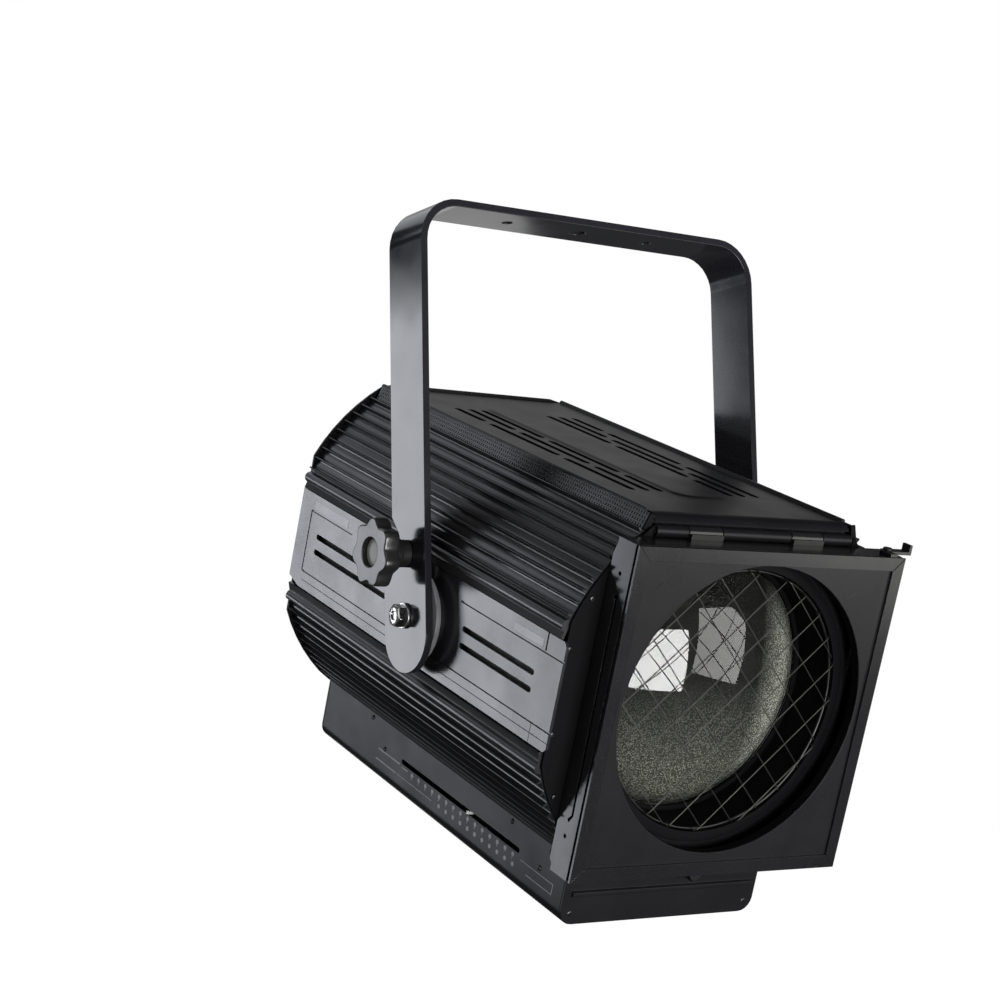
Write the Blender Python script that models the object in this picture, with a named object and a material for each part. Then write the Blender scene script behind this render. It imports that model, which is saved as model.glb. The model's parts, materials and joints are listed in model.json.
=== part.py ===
"""Plano-convex theatre spotlight on a hanging yoke, modelled as its separate pieces.

World frame: origin at the centre of the crossbar's top face, +Z up, the beam towards -Y.
The housing frame has its origin on the tilt axis, with -Y along the beam; it is tilted nose down.
Lengths below are millimetres and become metres in new_object.
"""

import math

import bmesh
import bpy
from mathutils import Matrix, Vector

MM = 0.001
GAP = 0.3  # between a piece and the neighbour it rests on
CUT = 9.0  # how far a cutting solid reaches past what it cuts

# Yoke, in the world frame
STRAP_WIDTH = 50.0
STRAP_THICK = 6.0
YOKE_HALF = 171.5
BEND_RADIUS = 36.0
YOKE_HOLE_SPACING = 72.0
PADDLE_REAR = 38.0
NOTCH = 14.5  # y of the leg's rear edge beside the lock knob
NOTCH_TOP, NOTCH_BOTTOM = -268.0, -282.0
NOTCH_SLOPE = 13.5
PADDLE_SHOULDER = -308.0
PADDLE_BOTTOM = -379.5
PIVOT = (7.0, -334.0)  # y, z of the tilt axis
TILT = 21.5  # degrees nose down at rest
LOCK = (3.0, -285.0)  # y, z of the tilt lock stud
LEG_INSIDE = YOKE_HALF - STRAP_THICK
MAIN_HOLE, SIDE_HOLE, PIVOT_HOLE, STUD_HOLE = 6.5, 4.5, 5.5, 4.6  # radii in the strap
CLAW_INSIDE, CLAW_OUTSIDE = LEG_INSIDE - 6.8, LEG_INSIDE - 4.6
STUD_RADIUS = 4.0
KNOB_RADIUS, KNOB_LOBE, KNOB_LENGTH, KNOB_HEAD = 25.0, 3.0, 33.0, 13.5
BOLT_RADIUS, BOLT_HOLE, HEX_ACROSS, WASHER_RADIUS = 4.9, 5.4, 16.0, 10.2
BRAKE_RADIUS, BRAKE_HUB = 38.0, 26.0

# Housing cross-section, in the housing frame
RIB_CENTRE = 2.8
RIB_TIP = 167.0
RIB_ROOT = 162.5
SHELL_INSIDE = 160.0
RIB_PITCH = 3.55  # degrees
HOUSING_FRONT = -188.0
HOUSING_REAR = 223.0
PANEL_X = 155.0
PANEL_LOW, PANEL_HIGH = -40.3, 43.8
PANEL_FRONT, PANEL_REAR = -194.0, 226.5
CHASSIS_X = 145.5
TOP_HALF = 97.0
TOP_Z = 140.5
LID_SHEET, LID_RIDGE = 1.4, 2.4
LID_FLANGE = 133.4  # z where the lid's side flanges end
FIELD_RISE, FIELD_SLOPE = 1.1, 2.5
VENT_HALF = 3.3  # of the slots in the lid
TOP_FRONT = -178.0
HOOD_HALF = 95.0
BOX_HALF = 95.0
BOX_BOTTOM = -188.4
BOX_TOP = -134.2
BOX_FRONT = -172.0
BOX_SHEET = 1.8
SCALE_Z = -156.6
SCALE_FRONT, SCALE_REAR = -108.0, 82.0

# Lens door, in the housing frame
DOOR_FRONT = -220.5
DOOR_BACK = -194.5
DOOR_HALF = 129.0
DOOR_TOP, DOOR_BOTTOM = 125.0, -131.5
DOOR_SHEET = 2.0
DOOR_CHEEK = -191.3  # y of the side walls' rear edges, which stand behind the door's back
DOOR_LIP = 10.5
APERTURE = 114.0
HINGE = (-189.0, 129.0)  # y, z of the door hinge
KNUCKLE = 4.8
CATCH_Z = -137.5
CATCH_SHANK, CATCH_HOLE = 2.7, 3.1
LATCH = (121.0, -207.0)  # x, y of the colour frame latch's rivet
RIVET_RADIUS, RIVET_HOLE = 2.0, 2.3
PIN_RADIUS, PIN_HOLE = 1.8, 2.1

# Lens
LENS_RADIUS = 104.0
LENS_BACK = -147.0
LENS_EDGE = 4.0
LENS_SAG = 37.0
TUBE_INSIDE = 105.2
TUBE_OUTSIDE = 108.0
TUBE_FRONT, TUBE_BACK = -198.8, -143.5
FLANGE_RADIUS, LEDGE_RADIUS = 113.5, 101.5
GUARD_PITCH = 23.5
GUARD_WIRE = 2.0
GUARD_FRONT = -202.6

# Lamp carriage
POINTER_Y = -30.6
LAMP_Y = -10.0
ROD_X, ROD_Z, ROD_RADIUS = 60.0, -173.0, 4.0
SCREW_Z, SCREW_RADIUS = -174.0, 4.5
REFLECTOR_RADIUS = 62.0

# Each body's joint, in the yoke's frame for yoke and tilt_lock and in the housing's for the others
BODY_ORIGINS = {
    "yoke": (0.0, 0.0, 0.0),
    "tilt_lock": (-YOKE_HALF, *LOCK),
    "housing": (0.0, 0.0, 0.0),
    "front_door": (0.0, *HINGE),
    "door_catch": (0.0, DOOR_BACK, CATCH_Z),
    "frame_latch": (*LATCH, DOOR_TOP),
    "lamp_carriage": (0.0, LAMP_Y, ROD_Z),
    "focus_drive": (0.0, HOUSING_REAR, SCREW_Z),
}
BODY_PARENTS = {
    "tilt_lock": "yoke",
    "front_door": "housing",
    "door_catch": "front_door",
    "frame_latch": "front_door",
    "lamp_carriage": "housing",
    "focus_drive": "housing",
}

PAINTS = {
    "black_paint": ((0.045, 0.045, 0.047), 0.45, 0.1),
    "panel_paint": ((0.16, 0.165, 0.175), 0.5, 0.3),
    "rib_paint": ((0.02, 0.02, 0.022), 0.5, 0.2),
    "yoke_paint": ((0.06, 0.062, 0.068), 0.4, 0.2),
    "knob_plastic": ((0.03, 0.03, 0.032), 0.5, 0.0),
    "zinc": ((0.6, 0.6, 0.6), 0.3, 1.0),
    "chrome": ((0.75, 0.75, 0.76), 0.12, 1.0),
    "steel": ((0.45, 0.45, 0.45), 0.35, 1.0),
    "aluminium": ((0.62, 0.62, 0.62), 0.4, 1.0),
    "mirror": ((0.9, 0.9, 0.9), 0.05, 1.0),
    "glass": ((0.75, 0.8, 0.75), 0.15, 0.0),
    "ceramic": ((0.85, 0.83, 0.78), 0.6, 0.0),
    "pointer_white": ((0.9, 0.9, 0.88), 0.5, 0.0),
    "brake_lining": ((0.08, 0.07, 0.06), 0.8, 0.0),
}


def clear_scene():
    for obj in list(bpy.data.objects):
        bpy.data.objects.remove(obj, do_unlink=True)


def material(name):
    found = bpy.data.materials.get(name)
    if found:
        return found
    made = bpy.data.materials.new(name)
    made.use_nodes = True
    shader = made.node_tree.nodes["Principled BSDF"]
    colour, roughness, metallic = PAINTS[name]
    shader.inputs["Base Color"].default_value = (*colour, 1.0)
    shader.inputs["Roughness"].default_value = roughness
    shader.inputs["Metallic"].default_value = metallic
    return made


def empty(name, location, parent=None):
    made = bpy.data.objects.new(name, None)
    bpy.context.scene.collection.objects.link(made)
    made.location = Vector(location) * MM
    made.parent = parent
    return made


def make_frames():
    """One empty for each body, on its joint's axis. The yoke's is the world origin."""
    frames = {"yoke": empty("yoke_frame", (0, 0, 0))}
    frames["housing"] = empty("housing_frame", (0, *PIVOT), frames["yoke"])
    frames["housing"].rotation_euler.x = math.radians(TILT)
    for body, parent in BODY_PARENTS.items():
        offset = Vector(BODY_ORIGINS[body]) - Vector(BODY_ORIGINS[parent])
        frames[body] = empty(body + "_frame", offset, frames[parent])
    return frames


def new_object(name, bm, body, frames):
    """The bmesh, drawn in the yoke's or the housing's frame, as an object on its body's empty."""
    bmesh.ops.recalc_face_normals(bm, faces=bm.faces)
    shift = Matrix.Translation(-Vector(BODY_ORIGINS[body]))
    bmesh.ops.transform(bm, matrix=Matrix.Scale(MM, 4) @ shift, verts=bm.verts)
    mesh = bpy.data.meshes.new(name)
    bm.to_mesh(mesh)
    bm.free()
    made = bpy.data.objects.new(name, mesh)
    bpy.context.scene.collection.objects.link(made)
    made.parent = frames[body]
    return made


def solid(name, bm, paint, body, frames):
    made = new_object(name, bm, body, frames)
    made.data.materials.append(material(paint))
    made.data.shade_smooth()
    made.data.set_sharp_from_angle(angle=math.radians(32))
    return made


def combine(target, operation, name, bm, body, frames):
    """A Boolean on target with a hidden helper made from the bmesh."""
    helper = new_object(target.name + "_" + name, bm, body, frames)
    helper.hide_render = True
    helper.display_type = "WIRE"
    modifier = target.modifiers.new(name, "BOOLEAN")
    modifier.operation = operation
    modifier.solver = "EXACT"
    modifier.object = helper
    return helper


# Outlines and solids


def arc(centre, radius, start, end, steps):
    """Points from start to end, in degrees from the first axis towards the second."""
    points = []
    for step in range(steps + 1):
        angle = math.radians(start + (end - start) * step / steps)
        points.append((centre[0] + radius * math.cos(angle), centre[1] + radius * math.sin(angle)))
    return points


def rectangle(u0, u1, v0, v1):
    return [(u0, v0), (u1, v0), (u1, v1), (u0, v1)]


def rounded(u0, u1, v0, v1, radius, steps=4):
    corners = [(u1 - radius, v1 - radius, 0), (u0 + radius, v1 - radius, 90)]
    corners += [(u0 + radius, v0 + radius, 180), (u1 - radius, v0 + radius, 270)]
    outline = []
    for u, v, start in corners:
        outline += arc((u, v), radius, start, start + 90, steps)
    return outline


def mirrored(outline):
    return [(-u, v) for u, v in reversed(outline)]


def point_on(axis, u, v, along):
    """u and v are the two other axes in X, Y, Z order."""
    return {"x": (along, u, v), "y": (u, along, v), "z": (u, v, along)}[axis]


def add_prism(bm, outline, low, high, axis, far=None):
    """far is the outline at the high end, where it differs."""
    ends = []
    for along, points in ((low, outline), (high, far or outline)):
        ends.append([bm.verts.new(point_on(axis, u, v, along)) for u, v in points])
    bm.faces.new(ends[0])
    bm.faces.new(ends[1])
    for index in range(len(outline)):
        after = (index + 1) % len(outline)
        bm.faces.new((ends[0][index], ends[0][after], ends[1][after], ends[1][index]))


def prism(outline, low, high, axis, far=None):
    bm = bmesh.new()
    add_prism(bm, outline, low, high, axis, far)
    return bm


def box(x0, x1, y0, y1, z0, z1):
    return prism(rectangle(x0, x1, y0, y1), z0, z1, "z")


def prisms(outlines, low, high, axis):
    bm = bmesh.new()
    for outline in outlines:
        add_prism(bm, outline, low, high, axis)
    return bm


def turned(profile, axis, centre=(0.0, 0.0), segments=48, lobes=0):
    """Rings joined along a closed profile of (radius, along) or (radius, along, lobe height)."""
    bm = bmesh.new()
    rings = []
    for radius, along, *height in profile:
        if radius == 0:
            rings.append([bm.verts.new(point_on(axis, *centre, along))])
            continue
        ring = []
        for step in range(segments):
            angle = 2 * math.pi * step / segments
            reach = radius + (height[0] * math.cos(lobes * angle) if height else 0)
            u = centre[0] + reach * math.cos(angle)
            v = centre[1] + reach * math.sin(angle)
            ring.append(bm.verts.new(point_on(axis, u, v, along)))
        rings.append(ring)
    for index, ring in enumerate(rings):
        other = rings[(index + 1) % len(rings)]
        if len(ring) == 1 and len(other) == 1:
            continue
        for step in range(segments):
            after = (step + 1) % segments
            corners = [ring[step % len(ring)], ring[after % len(ring)]]
            corners += [other[after % len(other)], other[step % len(other)]]
            bm.faces.new(list(dict.fromkeys(corners)))
    return bm


def rod(radius, low, high, axis, centre=(0.0, 0.0), segments=20):
    return turned([(0, low), (radius, low), (radius, high), (0, high)], axis, centre, segments)


def ring(inner, outer, low, high, axis, centre=(0.0, 0.0), segments=32):
    profile = [(inner, low), (outer, low), (outer, high), (inner, high)]
    return turned(profile, axis, centre, segments)


def hexagon(across_flats, centre=(0.0, 0.0)):
    return arc(centre, across_flats / math.sqrt(3), 0, 300, 5)


# Yoke


def make_yoke(frames):
    """A flat bar bent into a hanging U, with a wide rounded end on each leg for the pivot."""
    inner = BEND_RADIUS - STRAP_THICK
    centre = YOKE_HALF - BEND_RADIUS
    right = [(YOKE_HALF, PADDLE_BOTTOM)]
    right += arc((centre, -BEND_RADIUS), BEND_RADIUS, 0, 90, 8)
    inside = [(LEG_INSIDE, PADDLE_BOTTOM)]
    inside += arc((centre, -BEND_RADIUS), inner, 0, 90, 8)
    outline = right + mirrored(right) + inside_path(inside)
    front = -STRAP_WIDTH / 2
    yoke = solid("yoke_strap", prism(outline, front, PADDLE_REAR, "y"), "yoke_paint", "yoke", frames)

    reach = YOKE_HALF + CUT
    rear = STRAP_WIDTH / 2
    waste = [(rear, CUT), (rear, NOTCH_TOP + NOTCH_SLOPE), (NOTCH, NOTCH_TOP), (NOTCH, NOTCH_BOTTOM)]
    waste += [(PADDLE_REAR, PADDLE_SHOULDER), (PADDLE_REAR + CUT, PADDLE_SHOULDER), (PADDLE_REAR + CUT, CUT)]
    combine(yoke, "DIFFERENCE", "waste", prism(waste, -reach, reach, "x"), "yoke", frames)
    combine(yoke, "DIFFERENCE", "end", prism(paddle_end_waste(), -reach, reach, "x"), "yoke", frames)
    holes = bmesh.new()
    add_prism(holes, arc(PIVOT, PIVOT_HOLE, 0, 337.5, 15), -reach, reach, "x")
    combine(yoke, "DIFFERENCE", "pivot_holes", holes, "yoke", frames)
    stud_hole = rod(STUD_HOLE, -reach, -YOKE_HALF / 2, "x", LOCK)
    combine(yoke, "DIFFERENCE", "stud_hole", stud_hole, "yoke", frames)
    bar = bmesh.new()
    for x, radius in ((-YOKE_HOLE_SPACING, SIDE_HOLE), (0, MAIN_HOLE), (YOKE_HOLE_SPACING, SIDE_HOLE)):
        add_prism(bar, arc((x, 0), radius, 0, 337.5, 15), -STRAP_THICK - CUT, CUT, "z")
    combine(yoke, "DIFFERENCE", "bar_holes", bar, "yoke", frames)


def inside_path(inside):
    """The inner side of the bar, from the left leg's foot to the right leg's foot."""
    left = [(-x, z) for x, z in inside]
    return left + list(reversed(inside))


def paddle_end_waste():
    """What is cut off below the half-round end of each leg."""
    middle = (PADDLE_REAR - STRAP_WIDTH / 2) / 2
    radius = (PADDLE_REAR + STRAP_WIDTH / 2) / 2
    low = PADDLE_BOTTOM + radius
    outline = arc((middle, low), radius, 180, 360, 20)
    return outline + [(middle + radius + 10, low), (middle + radius + 10, low - radius - 10),
                      (middle - radius - 10, low - radius - 10), (middle - radius - 10, low)]


def make_tilt_lock(frames):
    """A star knob draws a claw outwards, which pinches the disc's rim against the leg."""
    low, boss_radius = PIVOT[1] + BRAKE_HUB + 2.5, 9.0
    plate = rounded(LOCK[0] - 10, LOCK[0] + 10, low, LOCK[1] + boss_radius, 4, 3)
    claw = solid("tilt_lock_claw", prism(plate, -CLAW_OUTSIDE, -CLAW_INSIDE, "x"), "steel", "yoke", frames)
    boss = rod(boss_radius, -LEG_INSIDE + GAP, -CLAW_INSIDE - 1, "x", LOCK, 24)
    combine(claw, "UNION", "boss", boss, "yoke", frames)
    thread = rod(STUD_RADIUS + GAP, -LEG_INSIDE - CUT, -CLAW_INSIDE + CUT, "x", LOCK)
    combine(claw, "DIFFERENCE", "thread", thread, "yoke", frames)

    face, back, socket = YOKE_HALF + KNOB_LENGTH, YOKE_HALF + 0.4, YOKE_HALF + 17
    head_back = face - KNOB_HEAD
    bore = [(0, -socket), (STUD_RADIUS + GAP, -socket), (STUD_RADIUS + GAP, -back)]
    neck = [(11, -back), (11, -back - 8), (13, -back - 9), (13, -head_back + 4), (17, -head_back)]
    head = [(KNOB_RADIUS - 1.5, -head_back, KNOB_LOBE - 0.6), (KNOB_RADIUS, -head_back - 2, KNOB_LOBE)]
    head += [(KNOB_RADIUS, -face + 3, KNOB_LOBE), (KNOB_RADIUS - 1.5, -face + 1.2, KNOB_LOBE - 0.4)]
    head += [(KNOB_RADIUS - 8, -face, 0.6), (0, -face)]
    knob = turned(bore + neck + head, "x", LOCK, 42, lobes=7)
    solid("tilt_lock_knob", knob, "knob_plastic", "tilt_lock", frames)
    stud = rod(STUD_RADIUS, GAP + 0.2 - socket, -CLAW_INSIDE - GAP, "x", LOCK, 16)
    solid("tilt_lock_stud", stud, "steel", "tilt_lock", frames)


def make_pivots(frames):
    """Each side: a bolt through washer, leg, brake disc, panel and chassis plate, with a nut inside."""
    for side, name in ((-1, "left"), (1, "right")):
        def put(piece, bm, paint):
            return solid(f"{piece}_{name}", bm, paint, "housing", frames)

        def along(distance):
            return side * distance

        rim_out, rim_in = along(LEG_INSIDE - GAP), along(LEG_INSIDE - 4.3)
        hub_in = along(PANEL_X + GAP)
        disc = [(BOLT_HOLE, rim_out), (BRAKE_RADIUS, rim_out), (BRAKE_RADIUS, rim_in), (BRAKE_HUB, rim_in)]
        disc += [(BRAKE_HUB, hub_in), (BOLT_HOLE, hub_in)]
        put("brake_disc", turned(disc, "x", segments=32), "brake_lining")
        washer_out = YOKE_HALF + GAP + 2.3
        washer = ring(BOLT_HOLE, WASHER_RADIUS, along(YOKE_HALF + GAP), along(washer_out), "x", segments=28)
        put("pivot_washer", washer, "zinc")
        head_in, head_out = along(washer_out + GAP), along(washer_out + GAP + 7.5)
        head = prism(hexagon(HEX_ACROSS), min(head_in, head_out), max(head_in, head_out), "x")
        bolt = put("pivot_bolt", head, "chrome")
        shank = sorted((along(washer_out + 3), along(CHASSIS_X - 9)))
        combine(bolt, "UNION", "shank", rod(BOLT_RADIUS, *shank, "x"), "housing", frames)
        nut_span = sorted((along(CHASSIS_X - GAP), along(CHASSIS_X - 7)))
        nut = put("pivot_nut", prism(hexagon(HEX_ACROSS), *nut_span, "x"), "zinc")
        bore = rod(BOLT_RADIUS + GAP, nut_span[0] - CUT, nut_span[1] + CUT, "x")
        combine(nut, "DIFFERENCE", "bore", bore, "housing", frames)


# Housing


def on_rib_circle(radius, angle):
    """angle in degrees from straight up towards +X."""
    turn = math.radians(angle)
    return (radius * math.sin(turn), RIB_CENTRE + radius * math.cos(turn))


def rib_outline(start, first_fin, fins, bead, end):
    """An extrusion's section: a curved wall with radial fins, and one smooth bead beside the panel."""
    fin_root, fin_tip = 0.55, 0.32
    marks = [(start, RIB_ROOT)]
    for fin in range(fins):
        angle = first_fin + fin * RIB_PITCH
        marks += [(angle - fin_root, RIB_ROOT), (angle - fin_tip, RIB_TIP)]
        marks += [(angle + fin_tip, RIB_TIP), (angle + fin_root, RIB_ROOT)]
    half = 1.7
    for step in range(7):
        offset = -half + 2 * half * step / 6
        rise = math.cos(math.pi / 2 * offset / half)
        marks.append((bead + offset, RIB_ROOT + (RIB_TIP - RIB_ROOT) * rise))
    marks.append((end, RIB_ROOT))
    marks.sort()
    outside = [on_rib_circle(radius, angle) for angle, radius in marks]
    span = marks[-1][0] - marks[0][0]
    inside = [on_rib_circle(SHELL_INSIDE, marks[-1][0] - span * step / 10) for step in range(11)]
    return outside + inside


def make_rib_shells(frames):
    upper = rib_outline(36.8, 40.2, 9, 71.3, 74.9)
    lower = rib_outline(105.9, 114.4, 9, 110.4, 144.2)
    for where, outline in (("upper", upper), ("lower", lower)):
        for side, section in (("left", mirrored(outline)), ("right", outline)):
            bm = prism(section, HOUSING_FRONT, HOUSING_REAR, "y")
            solid(f"rib_shell_{where}_{side}", bm, "rib_paint", "housing", frames)


def slot(u0, u1, v, half, steps=4):
    """A straight slot along the first axis with round ends."""
    return arc((u1 - half, v), half, -90, 90, steps) + arc((u0 + half, v), half, 90, 270, steps)


def make_side_panels(frames):
    """Each side: a pressed panel with two pairs of vents, and the chassis plate that carries the pivot."""
    front, rear = PANEL_FRONT, PANEL_REAR
    outline = [(front, PANEL_LOW + 3), (front + 3, PANEL_LOW), (rear - 18, PANEL_LOW), (rear, PANEL_LOW + 5)]
    outline += [(rear, PANEL_HIGH), (front + 3, PANEL_HIGH), (front, PANEL_HIGH - 3)]
    vents = [slot(y0, y1, z, 2.4) for z in (9.9, -3.5) for y0, y1 in ((60, 190), (-162, -59))]
    for side, name in ((-1, "left"), (1, "right")):
        span = sorted((side * (PANEL_X - 2.5), side * PANEL_X))
        cut = sorted((side * (PANEL_X - CUT), side * (PANEL_X + CUT)))
        panel = solid(f"side_panel_{name}", prism(outline, *span, "x"), "panel_paint", "housing", frames)
        combine(panel, "DIFFERENCE", "vents", prisms(vents, *cut, "x"), "housing", frames)
        combine(panel, "DIFFERENCE", "bolt_hole", rod(BOLT_HOLE, *cut, "x"), "housing", frames)
        span = sorted((side * CHASSIS_X, side * (CHASSIS_X + 2.5)))
        cut = sorted((side * (CHASSIS_X - CUT), side * (CHASSIS_X + CUT)))
        plate = prism(rounded(-180, 212, -38, 42, 8, 3), *span, "x")
        chassis = solid(f"side_chassis_{name}", plate, "steel", "housing", frames)
        combine(chassis, "DIFFERENCE", "bolt_hole", rod(BOLT_HOLE, *cut, "x"), "housing", frames)


def make_top(frames):
    """The lid: raised edges, a raised field and three staggered rows of vents on each side."""
    half, ridge, low = TOP_HALF + 1.2, TOP_Z + LID_RIDGE, TOP_Z - LID_SHEET
    left = [(-half, ridge - 1), (-half + 1, ridge), (-half + 3, ridge), (-half + 4.4, TOP_Z)]
    under = [(-half + 3, low), (-half + 2.6, LID_FLANGE), (-half, LID_FLANGE)]
    lid = solid("top_cover", prism(close_lid(left, under), TOP_FRONT, HOUSING_REAR, "y"), "black_paint",
                "housing", frames)
    wide, front, rear = 28, -128, 168
    foot = rounded(-wide, wide, front, rear, 16, 5)
    crown = rounded(FIELD_SLOPE - wide, wide - FIELD_SLOPE, front + FIELD_SLOPE, rear - FIELD_SLOPE, 14, 5)
    field = prism(foot, TOP_Z - 0.2, TOP_Z + FIELD_RISE, "z", crown)
    combine(lid, "UNION", "field", field, "housing", frames)
    rows = ((34.9, (45.5, 54.5), (-64, -55.5)), (48, (70.5, 79), (-41, -32.5)), (62, (96.4, 105), (-18, -9.5)))
    outlines = []
    for x, rear_bridge, front_bridge in rows:
        spans = ((-114, front_bridge[0]), (front_bridge[1], rear_bridge[0]), (rear_bridge[1], 153.4))
        for side in (-1, 1):
            for y0, y1 in spans:
                outlines.append([(u, v) for v, u in slot(y0, y1, side * x, VENT_HALF, 3)])
    combine(lid, "DIFFERENCE", "vents", prisms(outlines, TOP_Z - CUT, TOP_Z + CUT, "z"), "housing", frames)
    baffle = [(-86, 116), (0, 130), (86, 116), (86, 117.4), (0, 131.4), (-86, 117.4)]
    solid("heat_baffle", prism(baffle, -168, 208, "y"), "aluminium", "housing", frames)


def close_lid(left, under):
    """The lid's section, from its left half's upper and under sides."""
    right = [(-x, z) for x, z in reversed(left)]
    right_under = [(-x, z) for x, z in reversed(under)]
    return left + right + right_under + under


def wall_outline(radius, half, low, high, steps=72):
    """The housing's section: the rib circle, flat at the sides, at the top and at the bottom."""
    outline = []
    for step in range(steps):
        x, z = on_rib_circle(radius, 360 * step / steps)
        outline.append((min(max(x, -half), half), min(max(z, low), high)))
    keep = []
    for index, (x, z) in enumerate(outline):
        before, after = outline[index - 1], outline[(index + 1) % steps]
        if before[0] == x == after[0] or before[1] == z == after[1]:
            continue
        keep.append((x, z))
    return keep


def make_front(frames):
    """The bulkhead behind the door, and the hood over the door's hinge."""
    back = HOUSING_FRONT - GAP
    cut = (back - CUT, back + CUT)
    section = wall_outline(RIB_ROOT - 0.5, PANEL_X - 2.8, -131, TOP_Z - 5)
    wall = solid("front_bulkhead", prism(section, back - 2.2, back, "y"), "black_paint", "housing", frames)
    y, z = HINGE
    notch = box(-HOOD_HALF - 0.5, HOOD_HALF + 0.5, *cut, z - 12.5, TOP_Z + 5)
    combine(wall, "DIFFERENCE", "hinge_notch", notch, "housing", frames)
    combine(wall, "UNION", "catch_tab", box(-10, 10, back - 2.2, back, -146, -128), "housing", frames)
    lens_hole = rod(113.5, *cut, "y", (0, -1.2), 56)
    combine(wall, "DIFFERENCE", "lens_hole", lens_hole, "housing", frames)
    combine(wall, "DIFFERENCE", "catch_hole", rod(CATCH_HOLE, *cut, "y", (0, CATCH_Z), 16), "housing", frames)

    lip = [(TOP_FRONT - GAP, TOP_Z + 0.6), (y + 5.4, TOP_Z), (y + 2.6, TOP_Z - 2), (y + 0.7, TOP_Z - 5)]
    lip += [(y + 2.0, TOP_Z - 5.4), (y + 3.6, TOP_Z - 3.2), (y + 5.0, TOP_Z - 1.8)]
    lip += [(y + 5.0, z - 12), (y + 6.4, z - 12), (y + 6.4, TOP_Z - 1.4), (TOP_FRONT - GAP, TOP_Z - 1.2)]
    hood = solid("front_hood", prism(lip, -HOOD_HALF, HOOD_HALF, "x"), "black_paint", "housing", frames)
    spans = ((-HOOD_HALF, -66), (-33, 33), (66, HOOD_HALF))
    add_knuckles(hood, spans, rectangle(y, y + 5.6, z - 2, z + 2), "housing", frames)
    solid("door_hinge_pin", rod(PIN_RADIUS, -HOOD_HALF, HOOD_HALF, "x", HINGE, 12), "steel", "housing", frames)


def add_knuckles(target, spans, web, body, frames):
    """Hinge knuckles on the door's axis, each joined to target by a web, and one bore through them all."""
    barrels, webs = bmesh.new(), bmesh.new()
    for low, high in spans:
        add_prism(barrels, arc(HINGE, KNUCKLE, 0, 340, 17), low, high, "x")
        add_prism(webs, web, low + 0.5, high - 0.5, "x")
    combine(target, "UNION", "webs", webs, body, frames)
    combine(target, "UNION", "barrels", barrels, body, frames)
    bore = rod(PIN_HOLE, -DOOR_HALF - CUT, DOOR_HALF + CUT, "x", HINGE, 12)
    combine(target, "DIFFERENCE", "pin_bore", bore, body, frames)


def make_rear(frames):
    front = HOUSING_REAR + GAP
    outline = wall_outline(RIB_TIP + 1, PANEL_X - 2.8, -134, TOP_Z + LID_RIDGE)
    cover = solid("rear_cover", prism(outline, front, front + 2.5, "y"), "black_paint", "housing", frames)
    vents = [slot(-60, 60, z, 3, 3) for z in range(-40, 81, 20)]
    combine(cover, "DIFFERENCE", "vents", prisms(vents, front - CUT, front + CUT, "y"), "housing", frames)


def box_section(half, bottom, radius):
    """The control box's outline, open at the top, from its left edge to its right edge."""
    left = arc((-half + radius, bottom + radius), radius, 180, 270, 5)
    right = arc((half - radius, bottom + radius), radius, 270, 360, 5)
    return [(-half, BOX_TOP)] + left + right + [(half, BOX_TOP)]


def make_control_box(frames):
    outside = box_section(BOX_HALF, BOX_BOTTOM, 12)
    inside = box_section(BOX_HALF - BOX_SHEET, BOX_BOTTOM + BOX_SHEET, 12 - BOX_SHEET)
    tray = solid("control_box_tray", prism(outside + inside[::-1], BOX_FRONT, HOUSING_REAR, "y"), "black_paint",
                 "housing", frames)
    scale = slot(SCALE_FRONT, SCALE_REAR, SCALE_Z, 2)
    through = prism(scale, -BOX_HALF - CUT, BOX_HALF + CUT, "x")
    combine(tray, "DIFFERENCE", "scale_slots", through, "housing", frames)

    cap_back = BOX_FRONT - GAP
    cap = solid("control_box_front_cap", prism(outside, cap_back - 2, cap_back, "y"), "black_paint",
                "housing", frames)
    rib = [(cap_back - 1, -166), (cap_back - 4.2, -164.5), (cap_back - 4.2, -161.5), (cap_back - 1, -160)]
    combine(cap, "UNION", "rib", prism(rib, -88, 88, "x"), "housing", frames)

    cap_front = HOUSING_REAR + GAP
    rear = solid("control_box_rear_cap", prism(outside, cap_front, cap_front + 2, "y"), "black_paint",
                 "housing", frames)
    shaft = rod(SCREW_RADIUS + 0.5, cap_front - CUT, cap_front + CUT, "y", (0, SCREW_Z))
    combine(rear, "DIFFERENCE", "shaft_hole", shaft, "housing", frames)
    gland_hole = rod(8.4, cap_front - CUT, cap_front + CUT, "y", (-50, -160))
    combine(rear, "DIFFERENCE", "gland_hole", gland_hole, "housing", frames)
    gland = [(5, 218), (8, 218), (8, 225.7), (12.5, 225.7), (12.5, 236), (10, 243), (5, 243)]
    solid("cable_gland", turned(gland, "y", (-50, -160), 24), "knob_plastic", "housing", frames)
    solid("terminal_block", box(-48, -20, 172, 200, -186.2, -168), "ceramic", "housing", frames)

    for name, low in (("front", -166.0), ("rear", 213.0)):
        plate = rectangle(-86, 86, -182, -150)
        bracket = solid(f"rail_bracket_{name}", prism(plate, low, low + 3, "y"), "steel", "housing", frames)
        combine(bracket, "DIFFERENCE", "holes", rod_bores(low - CUT, low + CUT), "housing", frames)
    for side, name in ((-1, "left"), (1, "right")):
        rail = rod(ROD_RADIUS, -169, 219, "y", (side * ROD_X, ROD_Z), 16)
        solid(f"guide_rail_{name}", rail, "chrome", "housing", frames)


def rod_bores(low, high):
    """Clearance bores for the two guide rails and the focus screw."""
    holes = ((-ROD_X, ROD_Z, ROD_RADIUS), (ROD_X, ROD_Z, ROD_RADIUS), (0, SCREW_Z, SCREW_RADIUS))
    return prisms([arc((x, z), radius + 0.5, 0, 337.5, 15) for x, z, radius in holes], low, high, "y")


# Lamp carriage and its drive


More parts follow.
